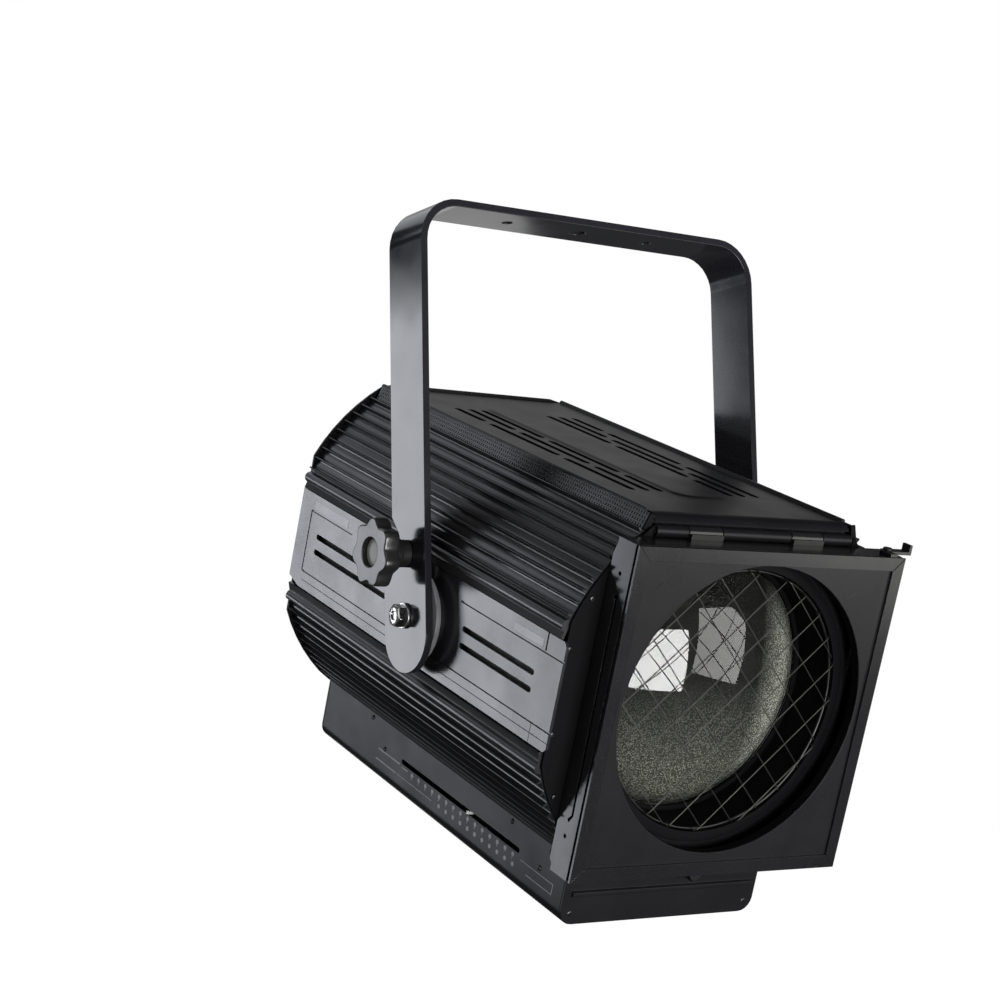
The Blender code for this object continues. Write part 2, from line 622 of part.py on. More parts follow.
def make_carriage(frames):
    body = "lamp_carriage"
    front, rear = LAMP_Y - 45, LAMP_Y + 70
    plate = solid("carriage_plate", box(-72, 72, front, rear, -164, -161), "aluminium", body, frames)
    blocks = bmesh.new()
    for x0, x1, low, reach in ((-68, -52, -181, 30), (52, 68, -181, 30), (-10, 10, -183, 12)):
        add_prism(blocks, rectangle(x0, x1, low, -163), LAMP_Y - reach, LAMP_Y + reach, "y")
    combine(plate, "UNION", "bearings", blocks, body, frames)
    combine(plate, "DIFFERENCE", "bores", rod_bores(front - CUT, rear + CUT), body, frames)

    socket = prism(rounded(-34, 34, LAMP_Y - 17, LAMP_Y + 17, 6, 3), -160.7, -138, "z")
    solid("lamp_socket", socket, "ceramic", body, frames)
    bulb = [(0, -137.7), (24, -137.7), (24, -112), (19, -104), (19, 44), (17, 53), (11, 60), (0, 62.5)]
    solid("lamp", turned(bulb, "z", (0, LAMP_Y), 24), "glass", body, frames)
    bowl = []
    for radius, steps in ((REFLECTOR_RADIUS, range(6)), (REFLECTOR_RADIUS + 1.5, range(5, -1, -1))):
        for step in steps:
            angle = math.radians(56 * step / 5)
            bowl.append((radius * math.sin(angle), LAMP_Y + radius * math.cos(angle)))
    solid("reflector", turned(bowl, "y", segments=24), "mirror", body, frames)
    back = LAMP_Y + REFLECTOR_RADIUS + 1.5 + GAP
    stay = [(back - 12, -160.7), (back + 2.5, -160.7), (back + 2.5, 12), (back, 12), (back, -158.2),
            (back - 12, -158.2)]
    solid("reflector_stay", prism(stay, -11, 11, "x"), "steel", body, frames)
    arm = [(60, -160.7), (74, -160.7), (74, -158), (97, -158), (97, -155.2), (60, -155.2)]
    for name, outline in (("left", mirrored(arm)), ("right", arm)):
        pointer = prism(outline, POINTER_Y - 1, POINTER_Y + 1, "y")
        solid(f"focus_pointer_{name}", pointer, "pointer_white", body, frames)


def make_focus_drive(frames):
    screw = rod(SCREW_RADIUS, -169, 240, "y", (0, SCREW_Z), 16)
    solid("focus_screw", screw, "steel", "focus_drive", frames)
    knob = [(0, 240.6), (4.8, 240.6), (4.8, 226), (10, 226), (10, 231), (14.5, 233, 0), (16, 234, 0.8)]
    knob += [(16, 250, 0.8), (14, 253), (0, 253)]
    solid("focus_knob", turned(knob, "y", (0, SCREW_Z), 36, lobes=12), "knob_plastic", "focus_drive", frames)


# Lens door


def make_door(frames):
    body = "front_door"
    shell = rectangle(-DOOR_HALF, DOOR_HALF, DOOR_BOTTOM, DOOR_TOP)
    frame = solid("front_frame", prism(shell, DOOR_FRONT, DOOR_BACK, "y"), "black_paint", body, frames)
    y, z = HINGE
    add_ears = rectangle(y - 7, y, z - 4.5, z)
    tab = box(-9, 9, -200, -197.5, CATCH_Z - 5.5, DOOR_BOTTOM + 1)
    combine(frame, "UNION", "catch_tab", tab, body, frames)
    cheek = [(DOOR_BACK - 3, DOOR_BOTTOM + 2), (DOOR_CHEEK, DOOR_BOTTOM + 8), (DOOR_CHEEK, DOOR_TOP - 14)]
    cheek += [(DOOR_BACK, DOOR_TOP - 4), (DOOR_BACK - 3, DOOR_TOP - 4)]
    cheeks = bmesh.new()
    for side in (-1, 1):
        add_prism(cheeks, cheek, *sorted((side * DOOR_HALF, side * (DOOR_HALF - DOOR_SHEET))), "x")
    combine(frame, "UNION", "cheeks", cheeks, body, frames)
    inner = DOOR_HALF - DOOR_SHEET
    cavity = box(-inner, inner, DOOR_FRONT + 1.5, DOOR_BACK - DOOR_SHEET, DOOR_BOTTOM + DOOR_SHEET,
                 DOOR_TOP - DOOR_SHEET)
    combine(frame, "DIFFERENCE", "cavity", cavity, body, frames)
    edge = DOOR_HALF - DOOR_LIP
    window = box(-edge, edge, DOOR_FRONT - 5, DOOR_FRONT + 4, DOOR_BOTTOM + DOOR_LIP, DOOR_TOP - DOOR_LIP)
    combine(frame, "DIFFERENCE", "window", window, body, frames)
    slot_cut = box(-125.7, 125.7, DOOR_FRONT + 1.5, DOOR_FRONT + 3.8, DOOR_TOP - 8, DOOR_TOP + 8)
    combine(frame, "DIFFERENCE", "frame_slot", slot_cut, body, frames)
    lens_hole = rod(TUBE_OUTSIDE + 0.5, DOOR_BACK - CUT, DOOR_BACK + CUT, "y", segments=64)
    combine(frame, "DIFFERENCE", "lens_hole", lens_hole, body, frames)
    catch_hole = rod(CATCH_HOLE, DOOR_BACK - 2 * CUT, DOOR_BACK, "y", (0, CATCH_Z), 16)
    combine(frame, "DIFFERENCE", "catch_hole", catch_hole, body, frames)
    rivet_hole = rod(RIVET_HOLE, DOOR_TOP - CUT, DOOR_TOP + CUT, "z", LATCH, 12)
    combine(frame, "DIFFERENCE", "rivet_hole", rivet_hole, body, frames)
    add_knuckles(frame, ((-65, -34), (34, 65)), add_ears, body, frames)

    plate = rectangle(-125.2, 125.2, DOOR_BOTTOM + DOOR_SHEET + 0.5, DOOR_TOP - 0.5)
    front = DOOR_FRONT + 2.0
    colour = solid("colour_frame", prism(plate, front, front + 1.3, "y"), "black_paint", body, frames)
    aperture = rod(APERTURE, front - CUT, front + CUT, "y", segments=72)
    combine(colour, "DIFFERENCE", "aperture", aperture, body, frames)

    outer, deep = DOOR_HALF - DOOR_SHEET - 0.4, DOOR_BOTTOM + DOOR_SHEET + 0.4
    channel = [(-outer, deep), (outer, deep), (outer, 121.5), (119, 121.5), (119, -121.5), (-119, -121.5),
               (-119, 121.5), (-outer, 121.5)]
    solid("accessory_channel", prism(channel, front + 2.0, front + 7.6, "y"), "black_paint", body, frames)
    make_lens(frames)
    seat = DOOR_TOP + 3.1
    shank = [(0, DOOR_TOP - 5), (RIVET_RADIUS, DOOR_TOP - 5), (RIVET_RADIUS, seat), (4, seat), (3.4, seat + 1.5),
             (0, seat + 1.8)]
    solid("latch_rivet", turned(shank, "z", LATCH, 14), "zinc", body, frames)


def make_lens(frames):
    body = "front_door"
    tube = [(TUBE_INSIDE, TUBE_FRONT), (FLANGE_RADIUS, TUBE_FRONT), (FLANGE_RADIUS, TUBE_FRONT + 1.9)]
    tube += [(TUBE_OUTSIDE, TUBE_FRONT + 1.9), (TUBE_OUTSIDE, TUBE_BACK), (TUBE_INSIDE, TUBE_BACK)]
    tube += [(TUBE_INSIDE, -154.3), (LEDGE_RADIUS, -154.3), (LEDGE_RADIUS, -156.5), (TUBE_INSIDE, -156.5)]
    solid("lens_tube", turned(tube, "y", segments=40), "black_paint", body, frames)
    sphere = (LENS_RADIUS**2 + LENS_SAG**2) / (2 * LENS_SAG)
    apex = LENS_BACK - LENS_EDGE - LENS_SAG
    dome = []
    for step in range(7):
        radius = LENS_RADIUS * step / 6
        dome.append((radius, apex + sphere - math.sqrt(sphere**2 - radius**2)))
    lens = turned(dome + [(LENS_RADIUS, LENS_BACK), (0, LENS_BACK)], "y", segments=40)
    solid("lens", lens, "glass", body, frames)
    holder = ring(98, LENS_RADIUS, LENS_BACK + GAP, LENS_BACK + 2.3, "y", segments=40)
    solid("lens_retaining_ring", holder, "steel", body, frames)

    outer, inner = TUBE_INSIDE - GAP, TUBE_INSIDE - 2.6
    cup = [(0, GUARD_FRONT), (outer, GUARD_FRONT), (outer, -196), (inner, -196)]
    cup += [(inner, GUARD_FRONT + GUARD_WIRE), (0, GUARD_FRONT + GUARD_WIRE)]
    guard = solid("wire_guard", turned(cup, "y", segments=40), "zinc", body, frames)
    cells = combine(guard, "DIFFERENCE", "cells", guard_cells(), body, frames)
    inside = rod(inner, GUARD_FRONT - CUT, GUARD_FRONT + CUT, "y", segments=40)
    combine(cells, "INTERSECT", "rim", inside, body, frames)


def guard_cells():
    """The diamond openings between wires that cross at 45 degrees, one wire of each family on the axis."""
    half = (GUARD_PITCH - GUARD_WIRE) / 2
    cells = []
    for column in range(-5, 5):
        for row in range(-5, 5):
            along, across = (column + 0.5) * GUARD_PITCH, (row + 0.5) * GUARD_PITCH
            if math.hypot(along, across) < 112:
                corners = rectangle(along - half, along + half, across - half, across + half)
                turn = math.sqrt(0.5)
                cells.append([((a - b) * turn, (a + b) * turn) for a, b in corners])
    return prisms(cells, GUARD_FRONT - 6, GUARD_FRONT + 8, "y")


def make_latches(frames):
    screw = [(0, -208), (4.8, -208), (5.6, -206.5), (5.6, -200.4), (CATCH_SHANK, -200.4), (CATCH_SHANK, -181.5)]
    screw.append((0, -181.5))
    solid("door_catch_screw", turned(screw, "y", (0, CATCH_Z), 16), "zinc", "door_catch", frames)
    x, y = LATCH
    low = DOOR_TOP + GAP
    lever = [(x - 8, y - 13), (x - 1, y - 13), (x - 1, y - 5), (x + 21, y - 5), (x + 21, y + 4), (x - 4, y + 4),
             (x - 8, y)]
    latch = solid("frame_latch", prism(lever, low, low + 2.5, "z"), "black_paint", "frame_latch", frames)
    thumb = box(x + 18.5, x + 21, y - 5, y + 4, low + 0.5, low + 8)
    combine(latch, "UNION", "thumb", thumb, "frame_latch", frames)
    bore = rod(RIVET_HOLE, low - CUT, low + CUT, "z", LATCH, 12)
    combine(latch, "DIFFERENCE", "bore", bore, "frame_latch", frames)


def main():
    clear_scene()
    frames = make_frames()
    make_yoke(frames)
    make_tilt_lock(frames)
    make_pivots(frames)
    make_rib_shells(frames)
    make_side_panels(frames)
    make_top(frames)
    make_front(frames)
    make_rear(frames)
    make_control_box(frames)
    make_carriage(frames)
    make_focus_drive(frames)
    make_door(frames)
    make_latches(frames)


main()
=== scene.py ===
"""Looks of the plano-convex spotlight on its yoke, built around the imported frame.

Pieces are drawn in millimetres, either in the yoke's frame (the world's axes) or in the housing's frame,
whose origin is on the tilt axis with -Y along the beam, and placed by piece().
"""

import json
import math

import bmesh
import bpy
from mathutils import Matrix, Vector

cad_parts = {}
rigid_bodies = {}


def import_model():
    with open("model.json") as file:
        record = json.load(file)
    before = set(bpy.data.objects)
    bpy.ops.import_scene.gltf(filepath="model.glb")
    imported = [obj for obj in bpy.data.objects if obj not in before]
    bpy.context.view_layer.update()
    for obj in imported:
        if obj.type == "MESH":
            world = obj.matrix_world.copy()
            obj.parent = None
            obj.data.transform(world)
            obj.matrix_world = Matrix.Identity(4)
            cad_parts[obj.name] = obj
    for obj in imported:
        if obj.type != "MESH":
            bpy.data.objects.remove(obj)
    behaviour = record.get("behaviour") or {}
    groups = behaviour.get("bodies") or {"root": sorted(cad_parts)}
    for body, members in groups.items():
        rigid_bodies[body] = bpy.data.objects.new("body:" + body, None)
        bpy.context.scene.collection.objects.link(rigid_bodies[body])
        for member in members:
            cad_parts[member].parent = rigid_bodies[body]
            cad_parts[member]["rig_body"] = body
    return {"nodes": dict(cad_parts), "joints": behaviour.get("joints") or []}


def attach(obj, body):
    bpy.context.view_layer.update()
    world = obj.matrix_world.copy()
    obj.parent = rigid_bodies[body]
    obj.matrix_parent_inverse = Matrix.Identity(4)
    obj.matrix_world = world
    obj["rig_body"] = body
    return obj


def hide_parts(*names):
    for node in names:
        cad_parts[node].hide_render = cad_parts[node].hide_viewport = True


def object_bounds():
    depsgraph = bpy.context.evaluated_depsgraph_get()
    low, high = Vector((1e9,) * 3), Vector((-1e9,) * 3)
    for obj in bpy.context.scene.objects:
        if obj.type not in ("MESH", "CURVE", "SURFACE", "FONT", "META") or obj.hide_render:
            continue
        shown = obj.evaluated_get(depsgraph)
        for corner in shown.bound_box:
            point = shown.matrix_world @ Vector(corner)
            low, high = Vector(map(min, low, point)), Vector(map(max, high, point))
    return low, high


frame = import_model()
cad_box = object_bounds()

MM = 0.001
JOINTS = {joint["name"]: joint for joint in frame["joints"]}
BEAM_AXIS = Vector(JOINTS["carriage_slide"]["axis"])
TILT = math.atan2(BEAM_AXIS.z, BEAM_AXIS.y)
YOKE = Matrix.Scale(MM, 4)
HOUSING = Matrix.Translation(JOINTS["tilt"]["pos_m"]) @ Matrix.Rotation(TILT, 4, "X") @ YOKE
SIDES = ((-1, "left"), (1, "right"))


# Materials


def new_material(name):
    made = bpy.data.materials.new(name)
    made.use_nodes = True
    return made, made.node_tree, made.node_tree.nodes["Principled BSDF"]


def add(tree, kind, inputs=(), **settings):
    """A new node with its settings, and its inputs set or linked by name."""
    made = tree.nodes.new(kind)
    for name, value in settings.items():
        setattr(made, name, value)
    for name, value in dict(inputs).items():
        if isinstance(value, bpy.types.NodeSocket):
            tree.links.new(value, made.inputs[name])
        else:
            made.inputs[name].default_value = value
    return made


def object_point(tree, stretch=(1, 1, 1)):
    place = add(tree, "ShaderNodeTexCoord").outputs["Object"]
    return add(tree, "ShaderNodeMapping", {"Vector": place, "Scale": stretch}).outputs["Vector"]


def noise(tree, point, scale, detail=3.0):
    inputs = {"Vector": point, "Scale": scale, "Detail": detail}
    return add(tree, "ShaderNodeTexNoise", inputs).outputs["Fac"]


def spread(tree, value, low, high, start=0.3, stop=0.7):
    """The value, taken from start..stop to low..high."""
    inputs = {"Value": value, "From Min": start, "From Max": stop, "To Min": low, "To Max": high}
    return add(tree, "ShaderNodeMapRange", inputs).outputs["Result"]


def product(tree, first, second):
    return add(tree, "ShaderNodeMath", {0: first, 1: second}, operation="MULTIPLY").outputs[0]


def vector_maths(tree, operation, *inputs):
    """The outputs of a vector maths node, of which Vector or Value is used."""
    return add(tree, "ShaderNodeVectorMath", enumerate(inputs), operation=operation).outputs


def mixed(tree, factor, first, second):
    """The colour between first and second that the factor picks. Each may be a colour or a socket."""
    made = add(tree, "ShaderNodeMix", data_type="RGBA")
    tree.links.new(factor, made.inputs[0])
    for socket, colour in ((made.inputs[6], first), (made.inputs[7], second)):
        if isinstance(colour, bpy.types.NodeSocket):
            tree.links.new(colour, socket)
        else:
            socket.default_value = (*colour, 1)
    return made.outputs[2]


def bump(tree, shader, height, distance):
    made = add(tree, "ShaderNodeBump", {"Height": height, "Distance": distance, "Strength": 1.0})
    tree.links.new(made.outputs["Normal"], shader.inputs["Normal"])


def scaled(colour, by):
    return tuple(by * part for part in colour)


def coating(name, colour, roughness, grain, depth, specular):
    """Powder coat or moulded skin: faint clouds of colour and a fine grain, sized in millimetres."""
    made, tree, shader = new_material(name)
    point = object_point(tree)
    fine = noise(tree, point, 1 / (grain * MM), 2.0)
    clouds = spread(tree, noise(tree, point, 22, 3), 0, 1)
    cloudy = mixed(tree, clouds, scaled(colour, 0.86), scaled(colour, 1.14))
    grainy = mixed(tree, spread(tree, fine, 0, 0.5, 0.55, 0.8), cloudy, scaled(colour, 3))
    tree.links.new(grainy, shader.inputs["Base Color"])
    wiped = noise(tree, point, 30, 2)
    tree.links.new(spread(tree, wiped, roughness - 0.02, roughness + 0.03), shader.inputs["Roughness"])
    shader.inputs["Specular IOR Level"].default_value = specular
    bump(tree, shader, fine, depth * MM)
    return made


def brushed(name, colour, roughness, stretch, depth):
    """Bare or plated metal with a fine grain, drawn out along an axis where stretch is under 1."""
    made, tree, shader = new_material(name)
    lines = noise(tree, object_point(tree, stretch), 900)
    cloud = noise(tree, object_point(tree), 60, 4)
    tone = mixed(tree, spread(tree, cloud, 0, 1), colour, scaled(colour, 0.72))
    tree.links.new(tone, shader.inputs["Base Color"])
    tree.links.new(spread(tree, lines, roughness - 0.06, roughness + 0.1), shader.inputs["Roughness"])
    shader.inputs["Metallic"].default_value = 1.0
    bump(tree, shader, lines, depth * MM)
    return made


def pebbled_glass_painted_light(name):
    """The lens's flat side, moulded into pebbles, with light and shade painted into its base colour: painted
    shade above and at the rim, painted light below, and a painted speckled highlight along the right edge.
    """
    made, tree, shader = new_material(name)
    point = object_point(tree)
    pebble = 1.25
    inputs = {"Vector": point, "Scale": 1 / (pebble * MM)}
    cells = add(tree, "ShaderNodeTexVoronoi", inputs).outputs["Distance"]
    speckle = spread(tree, cells, 1, 0, 0.05, 0.5)
    cloud = spread(tree, noise(tree, point, 24, 2), 0.5, 1.0)
    middle = HOUSING @ Vector((0, extent("lens")[1].y, 0))
    from_middle = vector_maths(tree, "SUBTRACT", point, middle)["Vector"]
    upward = HOUSING.to_3x3().col[2].normalized()
    height = vector_maths(tree, "DOT_PRODUCT", from_middle, upward)["Value"]
    away = vector_maths(tree, "LENGTH", from_middle)["Value"]
    across = add(tree, "ShaderNodeSeparateXYZ", {0: from_middle}).outputs["X"]
    # Painted light and shade masks: light below the middle, shade towards the rim, and a crescent of painted
    # highlight at the right edge.
    painted_light_below = spread(tree, height, 1.0, 0.04, -0.06, 0.005)
    painted_rim_shade = spread(tree, away, 1.0, 0.1, 0.084, 0.102)
    painted_highlight_ramp = spread(tree, across, 0.0, 1.0, 0.052, 0.078)
    # Pebble grain between a dark tone and a painted lit tone, then darkened to near black as painted shade
    # above and at the rim, then brightened along the right edge as a painted speckled highlight.
    glow = mixed(tree, product(tree, speckle, cloud), (0.035, 0.035, 0.031), (0.34, 0.34, 0.31))
    dim = mixed(tree, product(tree, painted_light_below, painted_rim_shade), (0.004, 0.004, 0.004), glow)
    painted_crescent_mask = product(tree, painted_highlight_ramp, painted_rim_shade)
    painted_crescent_highlight = mixed(tree, speckle, (0.1, 0.1, 0.09), (0.8, 0.8, 0.76))
    tree.links.new(mixed(tree, painted_crescent_mask, dim, painted_crescent_highlight), shader.inputs["Base Color"])
    shader.inputs["Roughness"].default_value = 0.3
    shader.inputs["Metallic"].default_value = 0.8
    bump(tree, shader, cells, 0.2 * MM)
    return made


def clear_glass(name, tint, roughness, index):
    made, tree, shader = new_material(name)
    cloud = noise(tree, object_point(tree), 80, 2)
    tone = mixed(tree, spread(tree, cloud, 0, 1), tint, scaled(tint, 0.8))
    tree.links.new(tone, shader.inputs["Base Color"])
    tree.links.new(spread(tree, cloud, roughness, roughness + 0.05), shader.inputs["Roughness"])
    shader.inputs["Transmission Weight"].default_value = 1.0
    shader.inputs["IOR"].default_value = index
    return made


# Colour, roughness, size of the grain, depth of the grain and specular level
COATINGS = {
    "yoke_paint": ((0.015, 0.015, 0.018), 0.13, 1.2, 0.003, 0.42),
    "housing_black": ((0.006, 0.006, 0.007), 0.36, 0.9, 0.02, 0.17),
    "door_black": ((0.009, 0.009, 0.01), 0.2, 0.9, 0.004, 0.34),
    "sheet_black": ((0.009, 0.009, 0.01), 0.28, 0.9, 0.012, 0.2),
    "rib_black": ((0.009, 0.009, 0.01), 0.3, 0.8, 0.012, 0.6),
    "matt_black": ((0.0025, 0.0025, 0.003), 0.5, 0.8, 0.02, 0.06),
    "panel_grey": ((0.013, 0.013, 0.015), 0.22, 0.9, 0.015, 0.6),
    "knob_plastic": ((0.012, 0.012, 0.012), 0.3, 0.7, 0.012, 0.85),
    "knob_cap": ((0.3, 0.3, 0.27), 0.4, 0.7, 0.02, 0.6),
    "ceramic": ((0.78, 0.76, 0.7), 0.6, 0.6, 0.05, 0.5),
    "pointer_white": ((0.82, 0.82, 0.8), 0.5, 0.6, 0.02, 0.5),
    "brake_lining": ((0.16, 0.16, 0.17), 0.35, 0.7, 0.03, 0.6),
    "print_grey": ((0.3, 0.3, 0.32), 0.5, 0.6, 0.01, 0.5),
    "label_grey": ((0.05, 0.05, 0.055), 0.24, 0.6, 0.01, 0.85),
}
# Colour, roughness, stretch of the lines along each axis and their depth
METALS = {
    "zinc_plate": ((0.62, 0.62, 0.6), 0.3, (1, 1, 1), 0.01),
    "guard_wire": ((0.07, 0.07, 0.065), 0.45, (1, 1, 1), 0.01),
    "black_steel": ((0.06, 0.06, 0.06), 0.35, (1, 1, 1), 0.01),
    "chrome": ((0.5, 0.5, 0.49), 0.2, (1, 1, 1), 0.004),
    "steel": ((0.42, 0.42, 0.42), 0.38, (1, 0.06, 1), 0.01),
    "aluminium": ((0.62, 0.62, 0.62), 0.36, (0.05, 1, 1), 0.01),
    "reflector_mirror": ((0.88, 0.88, 0.88), 0.1, (1, 1, 1), 0.003),
}
# Tint, roughness and index of refraction
GLASSES = {
    "lens_glass": ((0.9, 0.93, 0.86), 0.0, 1.6),
    "lamp_glass": ((0.95, 0.97, 0.95), 0.03, 1.46),
}


def make_materials():
    made = {"lens_back": pebbled_glass_painted_light("lens_back")}
    for kind, table in ((coating, COATINGS), (brushed, METALS), (clear_glass, GLASSES)):
        for name, values in table.items():
            made[name] = kind(name, *values)
    return made


# Outlines and solids, in millimetres


def arc(centre, radius, start, end, steps):
    """Points from start to end, in degrees from the first axis towards the second."""
    points = []
    for step in range(steps + 1):
        angle = math.radians(start + (end - start) * step / steps)
        points.append((centre[0] + radius * math.cos(angle), centre[1] + radius * math.sin(angle)))
    return points


def rectangle(u0, u1, v0, v1):
    return [(u0, v0), (u1, v0), (u1, v1), (u0, v1)]


def mirrored(outline):
    return [(-u, v) for u, v in reversed(outline)]


def point_on(axis, u, v, along):
    """u and v are the two other axes in X, Y, Z order."""
    return {"x": (along, u, v), "y": (u, along, v), "z": (u, v, along)}[axis]


def join_rings(bm, ring, other):
    """The side faces between two rings with as many corners."""
    for index in range(len(ring)):
        after = (index + 1) % len(ring)
        bm.faces.new((ring[index], ring[after], other[after], other[index]))


def add_prism(bm, outline, low, high, axis):
    ends = []
    for along in (low, high):
        ends.append([bm.verts.new(point_on(axis, u, v, along)) for u, v in outline])
    for end in ends:
        bm.faces.new(end)
    join_rings(bm, *ends)


def prisms(outlines, low, high, axis):
    bm = bmesh.new()
    for outline in outlines:
        add_prism(bm, outline, low, high, axis)
    return bm


def prism(outline, low, high, axis):
    return prisms([outline], low, high, axis)


def box(x0, x1, y0, y1, z0, z1):
    return prism(rectangle(x0, x1, y0, y1), z0, z1, "z")


def turned(profile, axis, centre=(0.0, 0.0), segments=96, lobes=0):
    """Rings joined along a closed profile of (radius, along) or (radius, along, lobe height)."""
    bm = bmesh.new()
    rings = []
    for radius, along, *height in profile:
        if radius == 0:
            rings.append([bm.verts.new(point_on(axis, *centre, along))])
            continue
        ring = []
        for step in range(segments):
            angle = 2 * math.pi * step / segments
            reach = radius + (height[0] * math.cos(lobes * angle) if height else 0)
            u = centre[0] + reach * math.cos(angle)
            v = centre[1] + reach * math.sin(angle)
            ring.append(bm.verts.new(point_on(axis, u, v, along)))
        rings.append(ring)
    for index, ring in enumerate(rings):
        other = rings[(index + 1) % len(rings)]
        if len(ring) == 1 and len(other) == 1:
            continue
        for step in range(segments):
            after = (step + 1) % segments
            corners = [ring[step % len(ring)], ring[after % len(ring)]]
            corners += [other[after % len(other)], other[step % len(other)]]
            bm.faces.new(list(dict.fromkeys(corners)))
    return bm


def wire_ring(radius, along, wire):
    """A ring of round wire about the beam."""
    return turned(arc((radius, along), wire, 0, 330, 11), "y", segments=128)


def add_tube(bm, points, radius, side, sides=8):
    """A round wire through points that lie in the plane square to side, with closed ends."""
    rings = []
    for index, point in enumerate(points):
        before, after = points[max(index - 1, 0)], points[min(index + 1, len(points) - 1)]
        normal = (after - before).normalized().cross(side)
        ring = []
        for step in range(sides):
            angle = 2 * math.pi * step / sides
            ring.append(bm.verts.new(point + radius * (math.cos(angle) * side + math.sin(angle) * normal)))
        rings.append(ring)
    for ring, other in zip(rings, rings[1:]):
        join_rings(bm, ring, other)
    bm.faces.new(rings[0])
    bm.faces.new(rings[-1])


def work_object(bm):
    bmesh.ops.recalc_face_normals(bm, faces=bm.faces)
    mesh = bpy.data.meshes.new("work")
    bm.to_mesh(mesh)
    bm.free()
    made = bpy.data.objects.new("work", mesh)
    bpy.context.scene.collection.objects.link(made)
    return made


def carve(bm, other, operation="DIFFERENCE"):
    """The result of a Boolean between two bmeshes, which are both used up."""
    target, helper = work_object(bm), work_object(other)
    modifier = target.modifiers.new("carve", "BOOLEAN")
    modifier.operation = operation
    modifier.solver = "EXACT"
    modifier.object = helper
    result = bmesh.new()
    graph = bpy.context.evaluated_depsgraph_get()
    result.from_mesh(target.evaluated_get(graph).to_mesh())
    for used in (target, helper):
        mesh = used.data
        bpy.data.objects.remove(used, do_unlink=True)
        bpy.data.meshes.remove(mesh)
    return result


def copies(source, places):
    """One bmesh with a copy of source, which is used up, at each place."""
    pattern = bpy.data.meshes.new("work")
    source.to_mesh(pattern)
    source.free()
    made = bmesh.new()
    for place in places:
        moved = pattern.copy()
        moved.transform(place)
        made.from_mesh(moved)
        bpy.data.meshes.remove(moved)
    bpy.data.meshes.remove(pattern)
    return made


def facing(point, direction):
    """The matrix that sets something standing on z = 0 at that point, facing that way."""
    return Matrix.Translation(point) @ Vector(direction).to_track_quat("Z", "Y").to_matrix().to_4x4()


def from_cad(node, place=HOUSING):
    """A copy of a CAD node's solid in that frame, with its flat faces whole."""
    bm = bmesh.new()
    bm.from_mesh(frame["nodes"][node].data)
    bm.transform(place.inverted())
    bmesh.ops.remove_doubles(bm, verts=bm.verts, dist=0.005)
    bmesh.ops.dissolve_limit(bm, angle_limit=math.radians(0.6), verts=bm.verts, edges=bm.edges)
    return bm


def extent(node, place=HOUSING):
    """Lowest and highest corner of a CAD node, in millimetres in that frame."""
    back = place.inverted()
    points = [back @ vertex.co for vertex in frame["nodes"][node].data.vertices]
    low = Vector([min(point[axis] for point in points) for axis in range(3)])
    high = Vector([max(point[axis] for point in points) for axis in range(3)])
    return low, high


def piece(name, bm, paint, body, place=HOUSING, bevel=0.0, replaces=(), smooth=34):
    """An object from the bmesh, in its place, on its body, with rounded edges where bevel is over zero."""
    bmesh.ops.recalc_face_normals(bm, faces=bm.faces)
    bm.transform(place)
    mesh = bpy.data.meshes.new(name)
    bm.to_mesh(mesh)
    bm.free()
    made = bpy.data.objects.new(name, mesh)
    bpy.context.scene.collection.objects.link(made)
    mesh.materials.append(MATERIALS[paint])
    mesh.shade_smooth()
    if bevel:
        rounding = made.modifiers.new("rounded_edges", "BEVEL")
        rounding.width = bevel * MM
        rounding.segments = 2
        rounding.limit_method = "ANGLE"
        rounding.angle_limit = math.radians(smooth)
        made.modifiers.new("flat_faces", "WEIGHTED_NORMAL")
    else:
        mesh.set_sharp_from_angle(angle=math.radians(smooth))
    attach(made, body)
    if replaces:
        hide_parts(*replaces)
    return made


def body_of(node):
    return frame["nodes"][node]["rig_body"]


def refine(node, paint, bevel, bm=None, place=HOUSING, smooth=34):
    """The CAD node with rounded edges and any carved detail, in place of the node."""
    source = bm or from_cad(node, place)
    return piece(node + "_fine", source, paint, body_of(node), place, bevel, (node,), smooth)


def pan_head(radius, height):
    """A screw head with a crossed recess, standing on z = 0."""
    profile = [(0, -1), (radius, -1), (radius, height * 0.35)]
    profile += [(radius * 0.86, height * 0.8), (radius * 0.55, height), (0, height)]
    head = turned(profile, "z", segments=24)
    reach, half = radius * 0.6, radius * 0.14
    for u, v in ((reach, half), (half, reach)):
        head = carve(head, box(-u, u, -v, v, height * 0.35, height + 1))
    return head


# Yoke


